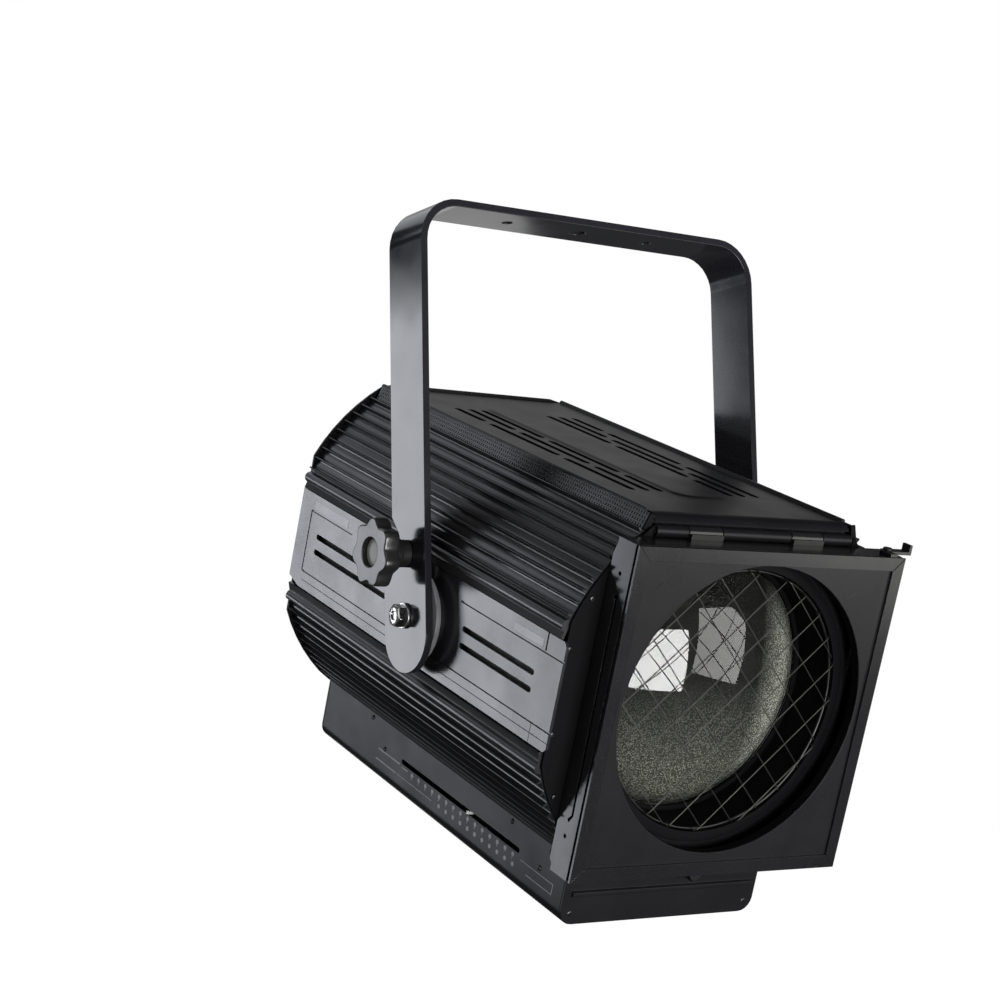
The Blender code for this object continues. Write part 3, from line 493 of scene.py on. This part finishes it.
def make_star_knob():
    """The seven-lobed knob: a turned hub with a groove, a lobed rim and a pale cap sunk in its face."""
    low, high = extent("tilt_lock_knob", YOKE)
    axis = ((low.y + high.y) / 2, (low.z + high.z) / 2)
    face, back = low.x, high.x
    rim, wave, recess = 25.4, 2.3, 11.6
    shell = [(0, face + 16), (4.3, face + 16), (4.3, back), (11, back), (11, back - 7.4), (12.6, back - 8.2)]
    shell += [(13, back - 9), (13, back - 11.8), (12.3, back - 12.2), (12.3, back - 12.8), (13, back - 13.2)]
    shell += [(13, back - 15.4), (17, face + 13.5), (rim - 2, face + 13.5, wave - 0.7)]
    shell += [(rim - 0.4, face + 12.8, wave - 0.2), (rim, face + 11.4, wave), (rim, face + 1.6, wave)]
    shell += [(rim - 0.2, face + 0.8, wave), (rim - 0.7, face + 0.2, wave), (rim - 1.3, face, wave)]
    shell += [(rim - 1.7, face, wave), (recess + 1.2, face), (recess + 0.6, face)]
    shell += [(recess, face + 0.5), (recess, face + 5), (0, face + 5)]
    knob = turned(shell, "x", axis, 168, lobes=7)
    piece("tilt_lock_knob_fine", knob, "knob_plastic", "tilt_lock", place=YOKE, replaces=("tilt_lock_knob",),
          smooth=50)
    cap = [(0, face + 5.1), (recess - 0.2, face + 5.1), (recess - 0.2, face + 4.4), (recess - 0.8, face + 4)]
    cap += [(6, face + 3.6), (0, face + 3.5)]
    piece("tilt_lock_knob_cap", turned(cap, "x", axis, 64), "knob_cap", "tilt_lock", YOKE)


def make_yoke():
    refine("yoke_strap", "yoke_paint", 0.7, place=YOKE)
    refine("tilt_lock_claw", "steel", 0.4, place=YOKE)
    make_star_knob()
    refine("tilt_lock_stud", "steel", 0.0, place=YOKE)


# Tilt axis


BOLT_ACROSS, BOLT_HEAD, BOLT_RADIUS, BOLT_HOLE = 16.0, 7.5, 4.9, 5.4


def make_pivot_bolt(side, name):
    """A hexagon bolt with a rounded crown, a dished face and three pressed marks."""
    low, high = extent(f"pivot_bolt_{name}")
    outer = high.x if side > 0 else -low.x
    base, half = outer - BOLT_HEAD, BOLT_ACROSS / 2
    hexagon = arc((0, 0), BOLT_ACROSS / math.sqrt(3), 0, 300, 5)
    bolt = prism(hexagon, *sorted((side * base, side * outer)), "x")
    crown = [(0, side * (base - 1)), (12, side * (base - 1)), (12, side * (outer - 2.6))]
    crown += [(half - 0.2, side * (outer - 0.8)), (half - 1.6, side * (outer - 0.2)), (0, side * outer)]
    bolt = carve(bolt, turned(crown, "x", segments=64), "INTERSECT")
    dish = [(0, side * (outer - 1.8)), (3, side * (outer - 1.4)), (4.6, side * (outer + 0.5))]
    bolt = carve(bolt, turned(dish + [(0, side * (outer + 0.5))], "x", segments=48))
    for turn in (0, 60, 120):
        mark = box(-1, 1, 3, 7.6, -0.55, 0.55)
        mark.transform(Matrix.Rotation(math.radians(turn), 4, "X"))
        mark.transform(Matrix.Translation((side * outer, 0, 0)))
        bolt = carve(bolt, mark)
    tip = low.x if side > 0 else high.x
    root = side * (base + 2)
    shank = [(0, tip), (BOLT_RADIUS, tip), (BOLT_RADIUS, root), (0, root)]
    bolt = carve(bolt, turned(shank, "x", segments=40), "UNION")
    piece(f"pivot_bolt_{name}_fine", bolt, "chrome", "housing", bevel=0.25, replaces=(f"pivot_bolt_{name}",))


def make_pivot_washer(name):
    node = f"pivot_washer_{name}"
    low, high = extent(node)
    section = [(BOLT_HOLE, low.x), (high.y, low.x), (high.y, high.x), (BOLT_HOLE, high.x)]
    washer = turned(section, "x", segments=64)
    piece(node + "_fine", washer, "zinc_plate", "housing", bevel=0.4, replaces=(node,))


def make_brake_disc(side, name):
    """A friction disc on a narrower boss, which stands on the side panel."""
    node = f"brake_disc_{name}"
    low, high = extent(node)
    out, far = (high.x, low.x) if side > 0 else (low.x, high.x)
    rim, boss, step = 38, 26, out - side * 4
    section = [(BOLT_HOLE, out), (rim, out), (rim, step), (boss, step), (boss, far), (BOLT_HOLE, far)]
    disc = turned(section, "x", segments=96)
    piece(node + "_fine", disc, "brake_lining", "housing", bevel=0.5, replaces=(node,))


def make_pivots():
    for side, name in SIDES:
        make_pivot_bolt(side, name)
        make_pivot_washer(name)
        refine(f"pivot_nut_{name}", "zinc_plate", 0.3)
        make_brake_disc(side, name)


# Housing


RIB_CENTRE = 2.8
RIB_ROOT, RIB_TIP, SHELL_INSIDE = 162.5, 167.0, 160.0
RIB_PITCH = 3.55


def on_rib_circle(radius, angle):
    """angle in degrees from straight up towards +X."""
    turn = math.radians(angle)
    return (radius * math.sin(turn), RIB_CENTRE + radius * math.cos(turn))


def rib_outline(start, first_fin, fins, bead, end):
    """An extrusion's section, with angles in degrees: thin fins with rolled tips, and a wide blunt bead."""
    marks = [(start, RIB_ROOT)]
    shape = ((-0.75, 0.0), (-0.42, 0.5), (-0.27, 1.4), (-0.22, 3.4), (-0.34, 3.7), (-0.34, 4.2),
             (-0.12, 4.5), (0.12, 4.5), (0.26, 4.2), (0.22, 3.4), (0.27, 1.4), (0.42, 0.5), (0.75, 0.0))
    for fin in range(fins):
        angle = first_fin + fin * RIB_PITCH
        marks += [(angle + offset, RIB_ROOT + height) for offset, height in shape]
        marks.append((angle + RIB_PITCH / 2, RIB_ROOT + 0.35))
    marks = marks[:-1]
    half = 1.75
    for step in range(13):
        offset = -half + 2 * half * step / 12
        rise = math.cos(math.pi / 2 * offset / half) ** 0.6
        marks.append((bead + offset, RIB_ROOT + (RIB_TIP - RIB_ROOT) * max(rise, 0)))
    marks.append((end, RIB_ROOT))
    marks.sort()
    outside = [on_rib_circle(radius, angle) for angle, radius in marks]
    span = marks[-1][0] - marks[0][0]
    inside = [on_rib_circle(SHELL_INSIDE, marks[-1][0] - span * step / 24) for step in range(25)]
    return outside + inside


def make_rib_shells():
    low, high = extent("rib_shell_upper_left")
    upper = rib_outline(36.8, 40.2, 9, 71.3, 74.9)
    lower = rib_outline(105.9, 114.4, 9, 110.4, 144.2)
    for where, outline in (("upper", upper), ("lower", lower)):
        for side, name in SIDES:
            section = outline if side > 0 else mirrored(outline)
            node = f"rib_shell_{where}_{name}"
            piece(node + "_fine", prism(section, low.y, high.y, "y"), "rib_black", "housing", bevel=0.0,
                  replaces=(node,), smooth=25)


def add_stud(bm, middle, across, normal, pitch):
    """A square stud with sloping sides. Across and normal are unit vectors square to Y."""
    rings = []
    for half, height in ((0.36, -0.1), (0.3, 0.9)):
        ring = []
        for u, v in ((-1, -1), (1, -1), (1, 1), (-1, 1)):
            corner = middle + half * pitch * (u * across + v * Vector((0, 1, 0))) + height * normal
            ring.append(bm.verts.new(corner))
        rings.append(ring)
    join_rings(bm, *rings)
    for ring in rings:
        bm.faces.new(ring)


def make_vent_strips():
    """The strip of small studs between the lid's edge and the first fin, and its front end, on both sides."""
    lid_high = extent("top_cover")[1]
    shell_low, shell_high = extent("rib_shell_upper_left")
    front, rear = shell_low.y + 2, shell_high.y - 2
    foot_x, foot_z = on_rib_circle(RIB_ROOT + 0.3, 39.2)
    rows, thickness = 4, 0.8
    for side, name in SIDES:
        top = Vector((side * (lid_high.x + 0.2), 0, lid_high.z - 2.2))
        foot = Vector((side * foot_x, 0, foot_z))
        width = (foot - top).length
        across = (foot - top).normalized()
        normal = Vector((-side * across.z, 0, side * across.x))
        pitch = width / rows
        base = [top, foot, foot - thickness * normal, top - thickness * normal]
        bm = prism([point.xz for point in base], front, rear, "y")
        for row in range(rows):
            for column in range(int((rear - front) / pitch)):
                along = Vector((0, front + (column + 0.5) * pitch, 0))
                add_stud(bm, top + (row + 0.5) * pitch * across + along, across, normal, pitch)
        piece(f"vent_strip_{name}", bm, "rib_black", "housing")
        edge = [top + 1.6 * normal, foot + 1.6 * normal, foot - 4 * normal, top - 2.5 * normal]
        end = prism([point.xz for point in edge], front - 2.5, front - 0.2, "y")
        piece(f"strip_end_{name}", end, "matt_black", "housing", bevel=0.3)


def make_side_panels():
    """The pressed panels: engraved border lines, and a blank label strip at each end."""
    for side, name in SIDES:
        node = f"side_panel_{name}"
        low, high = extent(node)
        face = high.x if side > 0 else low.x
        front, rear = low.y, high.y
        panel = from_cad(node)
        line, upper, lower = 0.85, 29.0, -25.0
        inner_rear, inner_front = rear - 21, front + 23.5
        strokes = [
            rectangle(front - 2, inner_rear, lower - line, lower + line),
            rectangle(inner_rear - line, inner_rear + line, lower, upper),
            rectangle(inner_rear - 75, inner_rear, upper - line, upper + line),
            rectangle(front - 2, inner_front + 120, upper - line, upper + line),
            rectangle(inner_front - line, inner_front + line, upper, high.z + 2),
            rectangle(inner_front - 0.3, inner_front + 0.3, low.z - 2, lower),
            rectangle(front - 2, rear - 24, lower - 8.3, lower - 7.7),
        ]
        for stroke in strokes:
            panel = carve(panel, prism(stroke, *sorted((face - side * 1.1, face + side * 3)), "x"))
        refine(node, "panel_grey", 0.35, panel)
        refine(f"side_chassis_{name}", "steel", 0.3)
        labels = [
            rectangle(inner_rear - 66, inner_rear - 4, upper + 2.6, upper + 9.6),
            rectangle(inner_front + 4, inner_front + 44, upper + 2.6, upper + 8.6),
        ]
        for index, outline in enumerate(labels):
            strip = prism(outline, *sorted((face - side * 0.2, face + side * 0.12)), "x")
            piece(f"label_strip_{name}_{index + 1}", strip, "label_grey", "housing")


def make_top():
    refine("top_cover", "housing_black", 0.3)
    refine("front_hood", "housing_black", 0.3)
    refine("door_hinge_pin", "steel", 0.0)


def make_bulkhead():
    """The front wall with its screws, and a corner plate beside the hood on each side."""
    refine("front_bulkhead", "matt_black", 0.3)
    face = extent("front_bulkhead")[0].y
    hood_half = extent("front_hood")[1].x
    reach, plate = 149.5, 1.2
    heads = []
    for side in (-1, 1):
        for angle, radius in ((62, 157), (77, 157), (101, 157), (120, 157), (48, 155), (135, 155)):
            x, z = on_rib_circle(radius, angle)
            heads.append(facing((side * min(x, reach), face, z), (0, -1, 0)))
    piece("bulkhead_screws", copies(pan_head(2.3, 1.4), heads), "black_steel", "housing")
    upper, lower = on_rib_circle(RIB_ROOT, 37.5), on_rib_circle(RIB_ROOT, 50)
    inner = (hood_half + 1, upper[1] - 14)
    for side, name in SIDES:
        gusset = prism([(side * u, v) for u, v in (upper, lower, inner)], face - plate, face, "y")
        piece(f"corner_gusset_{name}", gusset, "matt_black", "housing", bevel=0.3)


def make_rear():
    """The rear cover with a lip over each vent, its screws and a blank rating plate."""
    refine("rear_cover", "housing_black", 0.4)
    low, high = extent("rear_cover")
    back, screw_reach = high.y, 142
    louvres = bmesh.new()
    for row in range(7):
        z = -40 + 20 * row
        lip = [(back - 0.5, z + 3.4), (back + 0.6, z + 3.4), (back + 4.2, z - 0.4), (back + 3.6, z - 0.9),
               (back - 0.5, z + 2.2)]
        add_prism(louvres, lip, -60, 60, "x")
    piece("rear_louvres", louvres, "housing_black", "housing", bevel=0.25)
    heads = []
    for angle in (40, 90, 140, 220, 270, 320):
        x, z = on_rib_circle(148, angle)
        x = max(min(x, screw_reach), -screw_reach)
        z = max(min(z, high.z - 9), low.z + 9)
        heads.append(facing((x, back, z), (0, 1, 0)))
    cap_low, cap_high = extent("control_box_rear_cap")
    for x in (cap_low.x + 12, cap_high.x - 12):
        for z in (cap_high.z - 8, cap_low.z + 12):
            heads.append(facing((x, cap_high.y, z), (0, 1, 0)))
    piece("rear_screws", copies(pan_head(3.6, 2.2), heads), "zinc_plate", "housing")
    plate = box(-34, 34, back - 0.2, back + 0.5, -92, -62)
    piece("rating_plate_blank", plate, "aluminium", "housing", bevel=0.2)


def scale_marks():
    """The focus scale's outlines in Y and Z: dots, ticks and lines below its slot."""
    level, step = -156.6, 11.6
    marks = []
    for index in range(15):
        y = 62 - index * step
        marks.append(arc((y, level - 5.6), 2.0, 0, 315, 7))
        if index > 3:
            marks.append(arc((y - 2, level - 13.2), 2.0, 0, 315, 7))
        marks.append(rectangle(y - 0.35, y + 0.35, level - 9.4, level - 7.6))
    strokes = ((84, 122, 4.4, 3.0), (70, 80, 5.4, 4.4), (88, 124, 13.8, 12.6), (26, 86, 13.6, 12.9),
               (-158, -112, 5.9, 5.3), (-158, -122, 14, 13.4), (-158.6, -158, 14, 5.3))
    for front, rear, lower, upper in strokes:
        marks.append(rectangle(front, rear, level - lower, level - upper))
    return marks


def make_control_box():
    """The lower box with its focus scale and screws."""
    for node in ("control_box_tray", "control_box_front_cap", "control_box_rear_cap"):
        refine(node, "housing_black", 0.35, smooth=30)
    refine("cable_gland", "knob_plastic", 0.3)
    refine("terminal_block", "ceramic", 0.5)
    half_width = extent("control_box_tray")[1].x
    for side, name in SIDES:
        face = side * half_width
        scale = prisms(scale_marks(), *sorted((face - side * 0.2, face + side * 0.1)), "x")
        piece(f"focus_scale_{name}", scale, "print_grey", "housing")
        heads = []
        for y, z in ((140, -138.6), (-91, -138.6), (-137.5, -157.6), (112, -157.6), (-148, -138.6)):
            heads.append(facing((face, y, z), (side, 0, 0)))
        screws = copies(pan_head(2.1, 1.1), heads)
        piece(f"box_screws_{name}", screws, "black_steel", "housing")
    cap_low, cap_high = extent("control_box_front_cap")
    heads = []
    for x in (cap_low.x + 9, cap_high.x - 9):
        heads.append(facing((x, cap_low.y + 3.2, cap_low.z + 9), (0, -1, 0)))
    piece("front_cap_screws", copies(pan_head(2.4, 1.4), heads), "black_steel", "housing")


# Lamp carriage and drive


def make_socket():
    """The ceramic lamp socket, grooved on both sides."""
    socket = from_cad("lamp_socket")
    low, high = extent("lamp_socket")
    for index in range(4):
        z = low.z + 5 + index * 4
        groove = box(low.x - 5, low.x + 1.4, low.y - 5, high.y + 5, z, z + 1.6)
        socket = carve(socket, groove)
        socket = carve(socket, box(high.x - 1.4, high.x + 5, low.y - 5, high.y + 5, z, z + 1.6))
    refine("lamp_socket", "ceramic", 0.4, socket)


def make_lamp():
    """A tubular envelope with a round end on a wider base."""
    socket_low, socket_high = extent("lamp_socket")
    middle = (socket_low.y + socket_high.y) / 2
    low, high = extent("lamp")
    wide, radius, top = (high.x - low.x) / 2, 19.0, high.z
    base = [(0, low.z), (wide, low.z), (wide, low.z + 25.7), (radius, low.z + 33.7), (radius, top - radius)]
    outside = base + arc((0, top - radius), radius, 0, 90, 12)[1:-1] + [(0, top)]
    envelope = turned(outside, "z", (0, middle), 64)
    piece("lamp_envelope", envelope, "lamp_glass", "lamp_carriage", replaces=("lamp",), smooth=40)


def make_reflector():
    """A spherical bowl of bright sheet."""
    inner, sheet = 62.0, 1.5
    outer = inner + sheet
    centre = extent("reflector")[1].y - outer
    angles = [math.radians(3.5 * step) for step in range(17)]
    section = [(inner * math.sin(angle), centre + inner * math.cos(angle)) for angle in angles]
    section += [(outer * math.sin(angle), centre + outer * math.cos(angle)) for angle in reversed(angles)]
    bowl = turned(section, "y", segments=96)
    piece("reflector_fine", bowl, "reflector_mirror", "lamp_carriage", replaces=("reflector",))


def make_focus_knob():
    """A knurled knob with a dished end."""
    low, high = extent("focus_knob")
    axis = (0.0, (low.z + high.z) / 2)
    reach = high.z - axis[1]
    section = [(0, low.y), (10, low.y), (10, low.y + 5), (reach - 2.4, low.y + 6.5)]
    section += [(reach - 0.9, low.y + 8, 0.9), (reach - 0.9, high.y - 4, 0.9)]
    section += [(reach - 2.2, high.y - 1.6, 0.5), (reach - 4.5, high.y)]
    section += [(reach - 6, high.y), (reach - 6.6, high.y - 1), (0, high.y - 1)]
    knob = turned(section, "y", axis, 144, lobes=24)
    piece("focus_knob_fine", knob, "knob_plastic", "focus_drive", replaces=("focus_knob",), smooth=50)


def make_inside():
    """What is seen through the lens, the vents and the open door."""
    paints = {"steel": ("rail_bracket_front", "rail_bracket_rear", "reflector_stay", "focus_screw"),
              "aluminium": ("heat_baffle", "carriage_plate"),
              "chrome": ("guide_rail_left", "guide_rail_right"),
              "pointer_white": ("focus_pointer_left", "focus_pointer_right")}
    for paint, nodes in paints.items():
        for node in nodes:
            refine(node, paint, 0.25)
    make_socket()
    make_lamp()
    make_reflector()
    make_focus_knob()


# Lens door


def make_door_frame():
    """The door with its mitred lips, and a groove, a long slit and two holes in each side wall."""
    low, high = extent("front_frame")
    half, top, bottom = high.x, 125.0, -131.5
    front = low.y
    body = from_cad("front_frame")
    lip = 10.5
    for side in (-1, 1):
        for corner, level in ((top, -1), (bottom, 1)):
            start = Vector((side * (half - 0.6), corner + level * 0.6))
            stop = Vector((side * (half - lip + 0.2), corner + level * (lip - 0.2)))
            across = Vector((stop.y - start.y, start.x - stop.x)).normalized() * 0.35
            mitre = (start + across, stop + across, stop - across, start - across)
            body = carve(body, prism(mitre, front - 1, front + 0.6, "y"))
        wall = sorted((side * (half - 4), side * (half + 3)))
        groove = rectangle(front + 2.2, front + 4.8, bottom - 3, top + 3)
        body = carve(body, prism(groove, *sorted((side * (half - 1.1), side * (half + 3))), "x"))
        slit = [(13.9, 84), (19.1, 84), (19.1, 81.4), (16.5, 81.4), (14.1, -84), (17.9, -88)]
        slit += [(16.1, -90), (11.9, -84)]
        body = carve(body, prism([(front + u, v) for u, v in slit], *wall, "x"))
        holes = prisms([arc((front + 16.8, z), 1.7, 0, 330, 11) for z in (99.7, -101)], *wall, "x")
        body = carve(body, holes)
    refine("front_frame", "door_black", 0.45, body)


def make_colour_sheet():
    """The sheet with the round aperture, and a short collar behind it."""
    plate_low, plate_high = extent("colour_frame")
    aperture = 114.0
    plate = box(plate_low.x, plate_high.x, plate_low.y, plate_high.y, plate_low.z, plate_high.z)
    hole = prism(arc((0, 0), aperture, 0, 357.5, 143), plate_low.y - 5, plate_high.y + 5, "y")
    refine("colour_frame", "sheet_black", 0.3, carve(plate, hole))
    wall_front, wall_back = plate_high.y + 0.1, plate_high.y + 7.5
    collar = [(aperture + 0.4, wall_front), (aperture + 1.6, wall_front), (aperture + 1.6, wall_back),
              (aperture + 0.4, wall_back)]
    piece("aperture_collar", turned(collar, "y", segments=144), "matt_black", "front_door")


def make_door():
    make_door_frame()
    make_colour_sheet()
    refine("accessory_channel", "matt_black", 0.3)
    refine("latch_rivet", "black_steel", 0.25)
    refine("frame_latch", "door_black", 0.35)
    refine("door_catch_screw", "black_steel", 0.3)


def make_lens_tube():
    """The lens's holder, with a flange in front and a ledge inside, just before the lens's edge."""
    low, high = extent("lens_tube")
    flange, outside, inside = high.x, high.x - 5.5, high.x - 8.3
    tube = [(inside, low.y), (flange, low.y), (flange, low.y + 1.9), (outside, low.y + 1.9)]
    tube += [(outside, high.y), (inside, high.y), (inside, high.y - 10.8), (inside - 3.7, high.y - 10.8)]
    tube += [(inside - 3.7, high.y - 13), (inside, high.y - 13)]
    tube = turned(tube, "y", segments=144)
    piece("lens_tube_fine", tube, "matt_black", "front_door", bevel=0.4,
          replaces=("lens_tube",))


def make_lens():
    """The glass dome, its pebbled back as a thin disc in the glass, and the clip ring on its edge."""
    low, high = extent("lens")
    edge = 4.0
    radius, sag = high.x, high.y - low.y - edge
    sphere = (radius**2 + sag**2) / (2 * sag)
    steps = 40
    dome = []
    for step in range(steps + 1):
        reach = (radius - 0.6) * step / steps
        dome.append((reach, low.y + sphere - math.sqrt(sphere**2 - reach**2)))
    rim = [(radius, dome[-1][1] + 0.7), (radius, high.y - 1.4)]
    rim += [(radius - 0.6, high.y - 0.8), (0, high.y - 0.8)]
    glass = turned(dome + rim, "y", segments=192)
    piece("lens_fine", glass, "lens_glass", "front_door", replaces=("lens",), smooth=40)
    # The pebbled back's material has painted light below, painted shade above and at the rim, and a painted
    # highlight at the right edge.
    back = [(0, high.y - 0.9), (radius - 0.6, high.y - 0.9), (radius, high.y - 0.6)]
    back += [(radius - 0.6, high.y), (0, high.y)]
    pebbles = turned(back, "y", segments=128)
    piece("lens_pebbled_back", pebbles, "lens_back", "front_door", smooth=40)
    clip = wire_ring(radius - 0.2, dome[-1][1] - 1.0, 0.6)
    piece("lens_clip_ring", clip, "zinc_plate", "front_door")


def make_guard():
    """Two families of crossing wires, their ends bent back to a ring inside the lens tube."""
    low, high = extent("wire_guard")
    ring, wire, pitch, bend = high.x - 1.4, 0.5, 23.5, 3.0
    forward = low.y + 1.2
    bm = bmesh.new()
    for family, level in ((1, forward), (-1, forward + 1.6)):
        along = Vector((math.sqrt(0.5), 0, family * math.sqrt(0.5)))
        side = Vector((-along.z, 0, along.x))
        for index in range(-4, 5):
            offset = index * pitch
            reach = math.sqrt(ring**2 - offset**2)
            if reach < 2 * bend:
                continue
            path = [(reach, high.y + 1.5)] + arc((reach - bend, level + bend), bend, 0, -90, 5)
            path += [(-u, v) for u, v in reversed(path)]
            points = [side * offset + along * u + Vector((0, v, 0)) for u, v in path]
            add_tube(bm, points, wire, side)
    piece("wire_guard_fine", bm, "guard_wire", "front_door", replaces=("wire_guard",),
          smooth=50)
    hoop = wire_ring(ring, high.y + 0.4, 0.9)
    piece("guard_ring", hoop, "black_steel", "front_door", smooth=50)


# Stage


STAGE_CENTRE = Vector(JOINTS["tilt"]["pos_m"])


def area_light(name, azimuth, elevation, distance, width, height, radiance, tint=(1, 1, 1)):
    """A softbox facing the object. Azimuth 0 is in front of the lens, -90 on the left."""
    data = bpy.data.lights.new(name, "AREA")
    data.shape = "RECTANGLE"
    data.size, data.size_y = width, height
    data.energy = radiance * math.pi * width * height
    data.color = tint
    made = bpy.data.objects.new(name, data)
    bpy.context.scene.collection.objects.link(made)
    turn, rise = math.radians(azimuth), math.radians(elevation)
    away = Vector((math.sin(turn) * math.cos(rise), -math.cos(turn) * math.cos(rise), math.sin(rise)))
    made.location = STAGE_CENTRE + away * distance
    made.rotation_euler = away.to_track_quat("Z", "Y").to_euler()
    made.visible_camera = False
    return made


def make_world():
    """White for the camera, and a dim even light for the object."""
    world = bpy.data.worlds.new("studio")
    bpy.context.scene.world = world
    world.use_nodes = True
    tree = world.node_tree
    tree.nodes.clear()
    seen = add(tree, "ShaderNodeLightPath").outputs["Is Camera Ray"]
    room = add(tree, "ShaderNodeBackground", {"Color": (0.95, 0.97, 1, 1), "Strength": 0.05}).outputs[0]
    paper = add(tree, "ShaderNodeBackground", {"Color": (1, 1, 1, 1), "Strength": 1.0}).outputs[0]
    both = add(tree, "ShaderNodeMixShader", {0: seen, 1: room, 2: paper}).outputs[0]
    add(tree, "ShaderNodeOutputWorld", {"Surface": both})


def make_floor():
    """A white sheet under the object, which the camera sees and the object doesn't mirror."""
    bm = bmesh.new()
    bmesh.ops.create_grid(bm, x_segments=4, y_segments=4, size=30)
    mesh = bpy.data.meshes.new("floor")
    bm.to_mesh(mesh)
    bm.free()
    floor = bpy.data.objects.new("floor", mesh)
    floor.location.z = cad_box[0].z - 2
    floor.visible_glossy = False
    floor.visible_diffuse = False
    bpy.context.scene.collection.objects.link(floor)
    paint, _, shader = new_material("pale_floor")
    shader.inputs["Base Color"].default_value = (0.85, 0.85, 0.85, 1)
    shader.inputs["Roughness"].default_value = 0.9
    shader.inputs["Specular IOR Level"].default_value = 0.0
    shader.inputs["Emission Color"].default_value = (1, 1, 1, 1)
    shader.inputs["Emission Strength"].default_value = 0.98
    mesh.materials.append(paint)


def make_lights():
    area_light("rear_left_softbox", -147.2, 2.8, 10.0, 2.1, 3.8, 5.6, (0.9, 0.93, 1))
    area_light("rear_left_top", -172, 52, 2.4, 1.5, 1.2, 1.0, (0.9, 0.93, 1))
    area_light("rear_left_high_softbox", -139, 33, 2.4, 0.7, 0.4, 2.5, (0.9, 0.93, 1))
    area_light("rear_right_softbox", 158, -4, 2.4, 1.0, 1.2, 0.8)
    area_light("front_softbox", -3, -19, 2.0, 1.25, 1.1, 13.5)
    area_light("front_right_softbox", 36, -8.5, 2.0, 1.15, 1.1, 3.6, (1, 1, 0.95))
    area_light("left_softbox", -95, 8, 3.0, 2.0, 1.6, 1.6)
    area_light("right_softbox", 98, -2, 3.0, 2.0, 1.6, 1.6)
    area_light("front_top_softbox", -15, 42, 2.0, 1.0, 0.7, 1.2)
    area_light("top_softbox", 145, 40, 2.6, 1.6, 1.6, 0.4)


def make_camera():
    """The camera of the reference view, solved from the object's straight edges and circles."""
    bpy.context.scene.view_settings.view_transform = "Standard"
    data = bpy.data.cameras.new("camera")
    data.sensor_width = 36
    data.lens = 74.19
    made = bpy.data.objects.new("camera", data)
    bpy.context.scene.collection.objects.link(made)
    made.location = (-1.0137, -1.3865, -0.4270)
    made.rotation_euler = [math.radians(angle) for angle in (96.445, 0.906, -33.750)]
    bpy.context.scene.camera = made


MATERIALS = make_materials()
make_yoke()
make_pivots()
make_rib_shells()
make_vent_strips()
make_side_panels()
make_top()
make_bulkhead()
make_rear()
make_control_box()
make_inside()
make_door()
make_lens_tube()
make_lens()
refine("lens_retaining_ring", "steel", 0.3)
make_guard()
make_world()
make_floor()
make_lights()
make_camera()
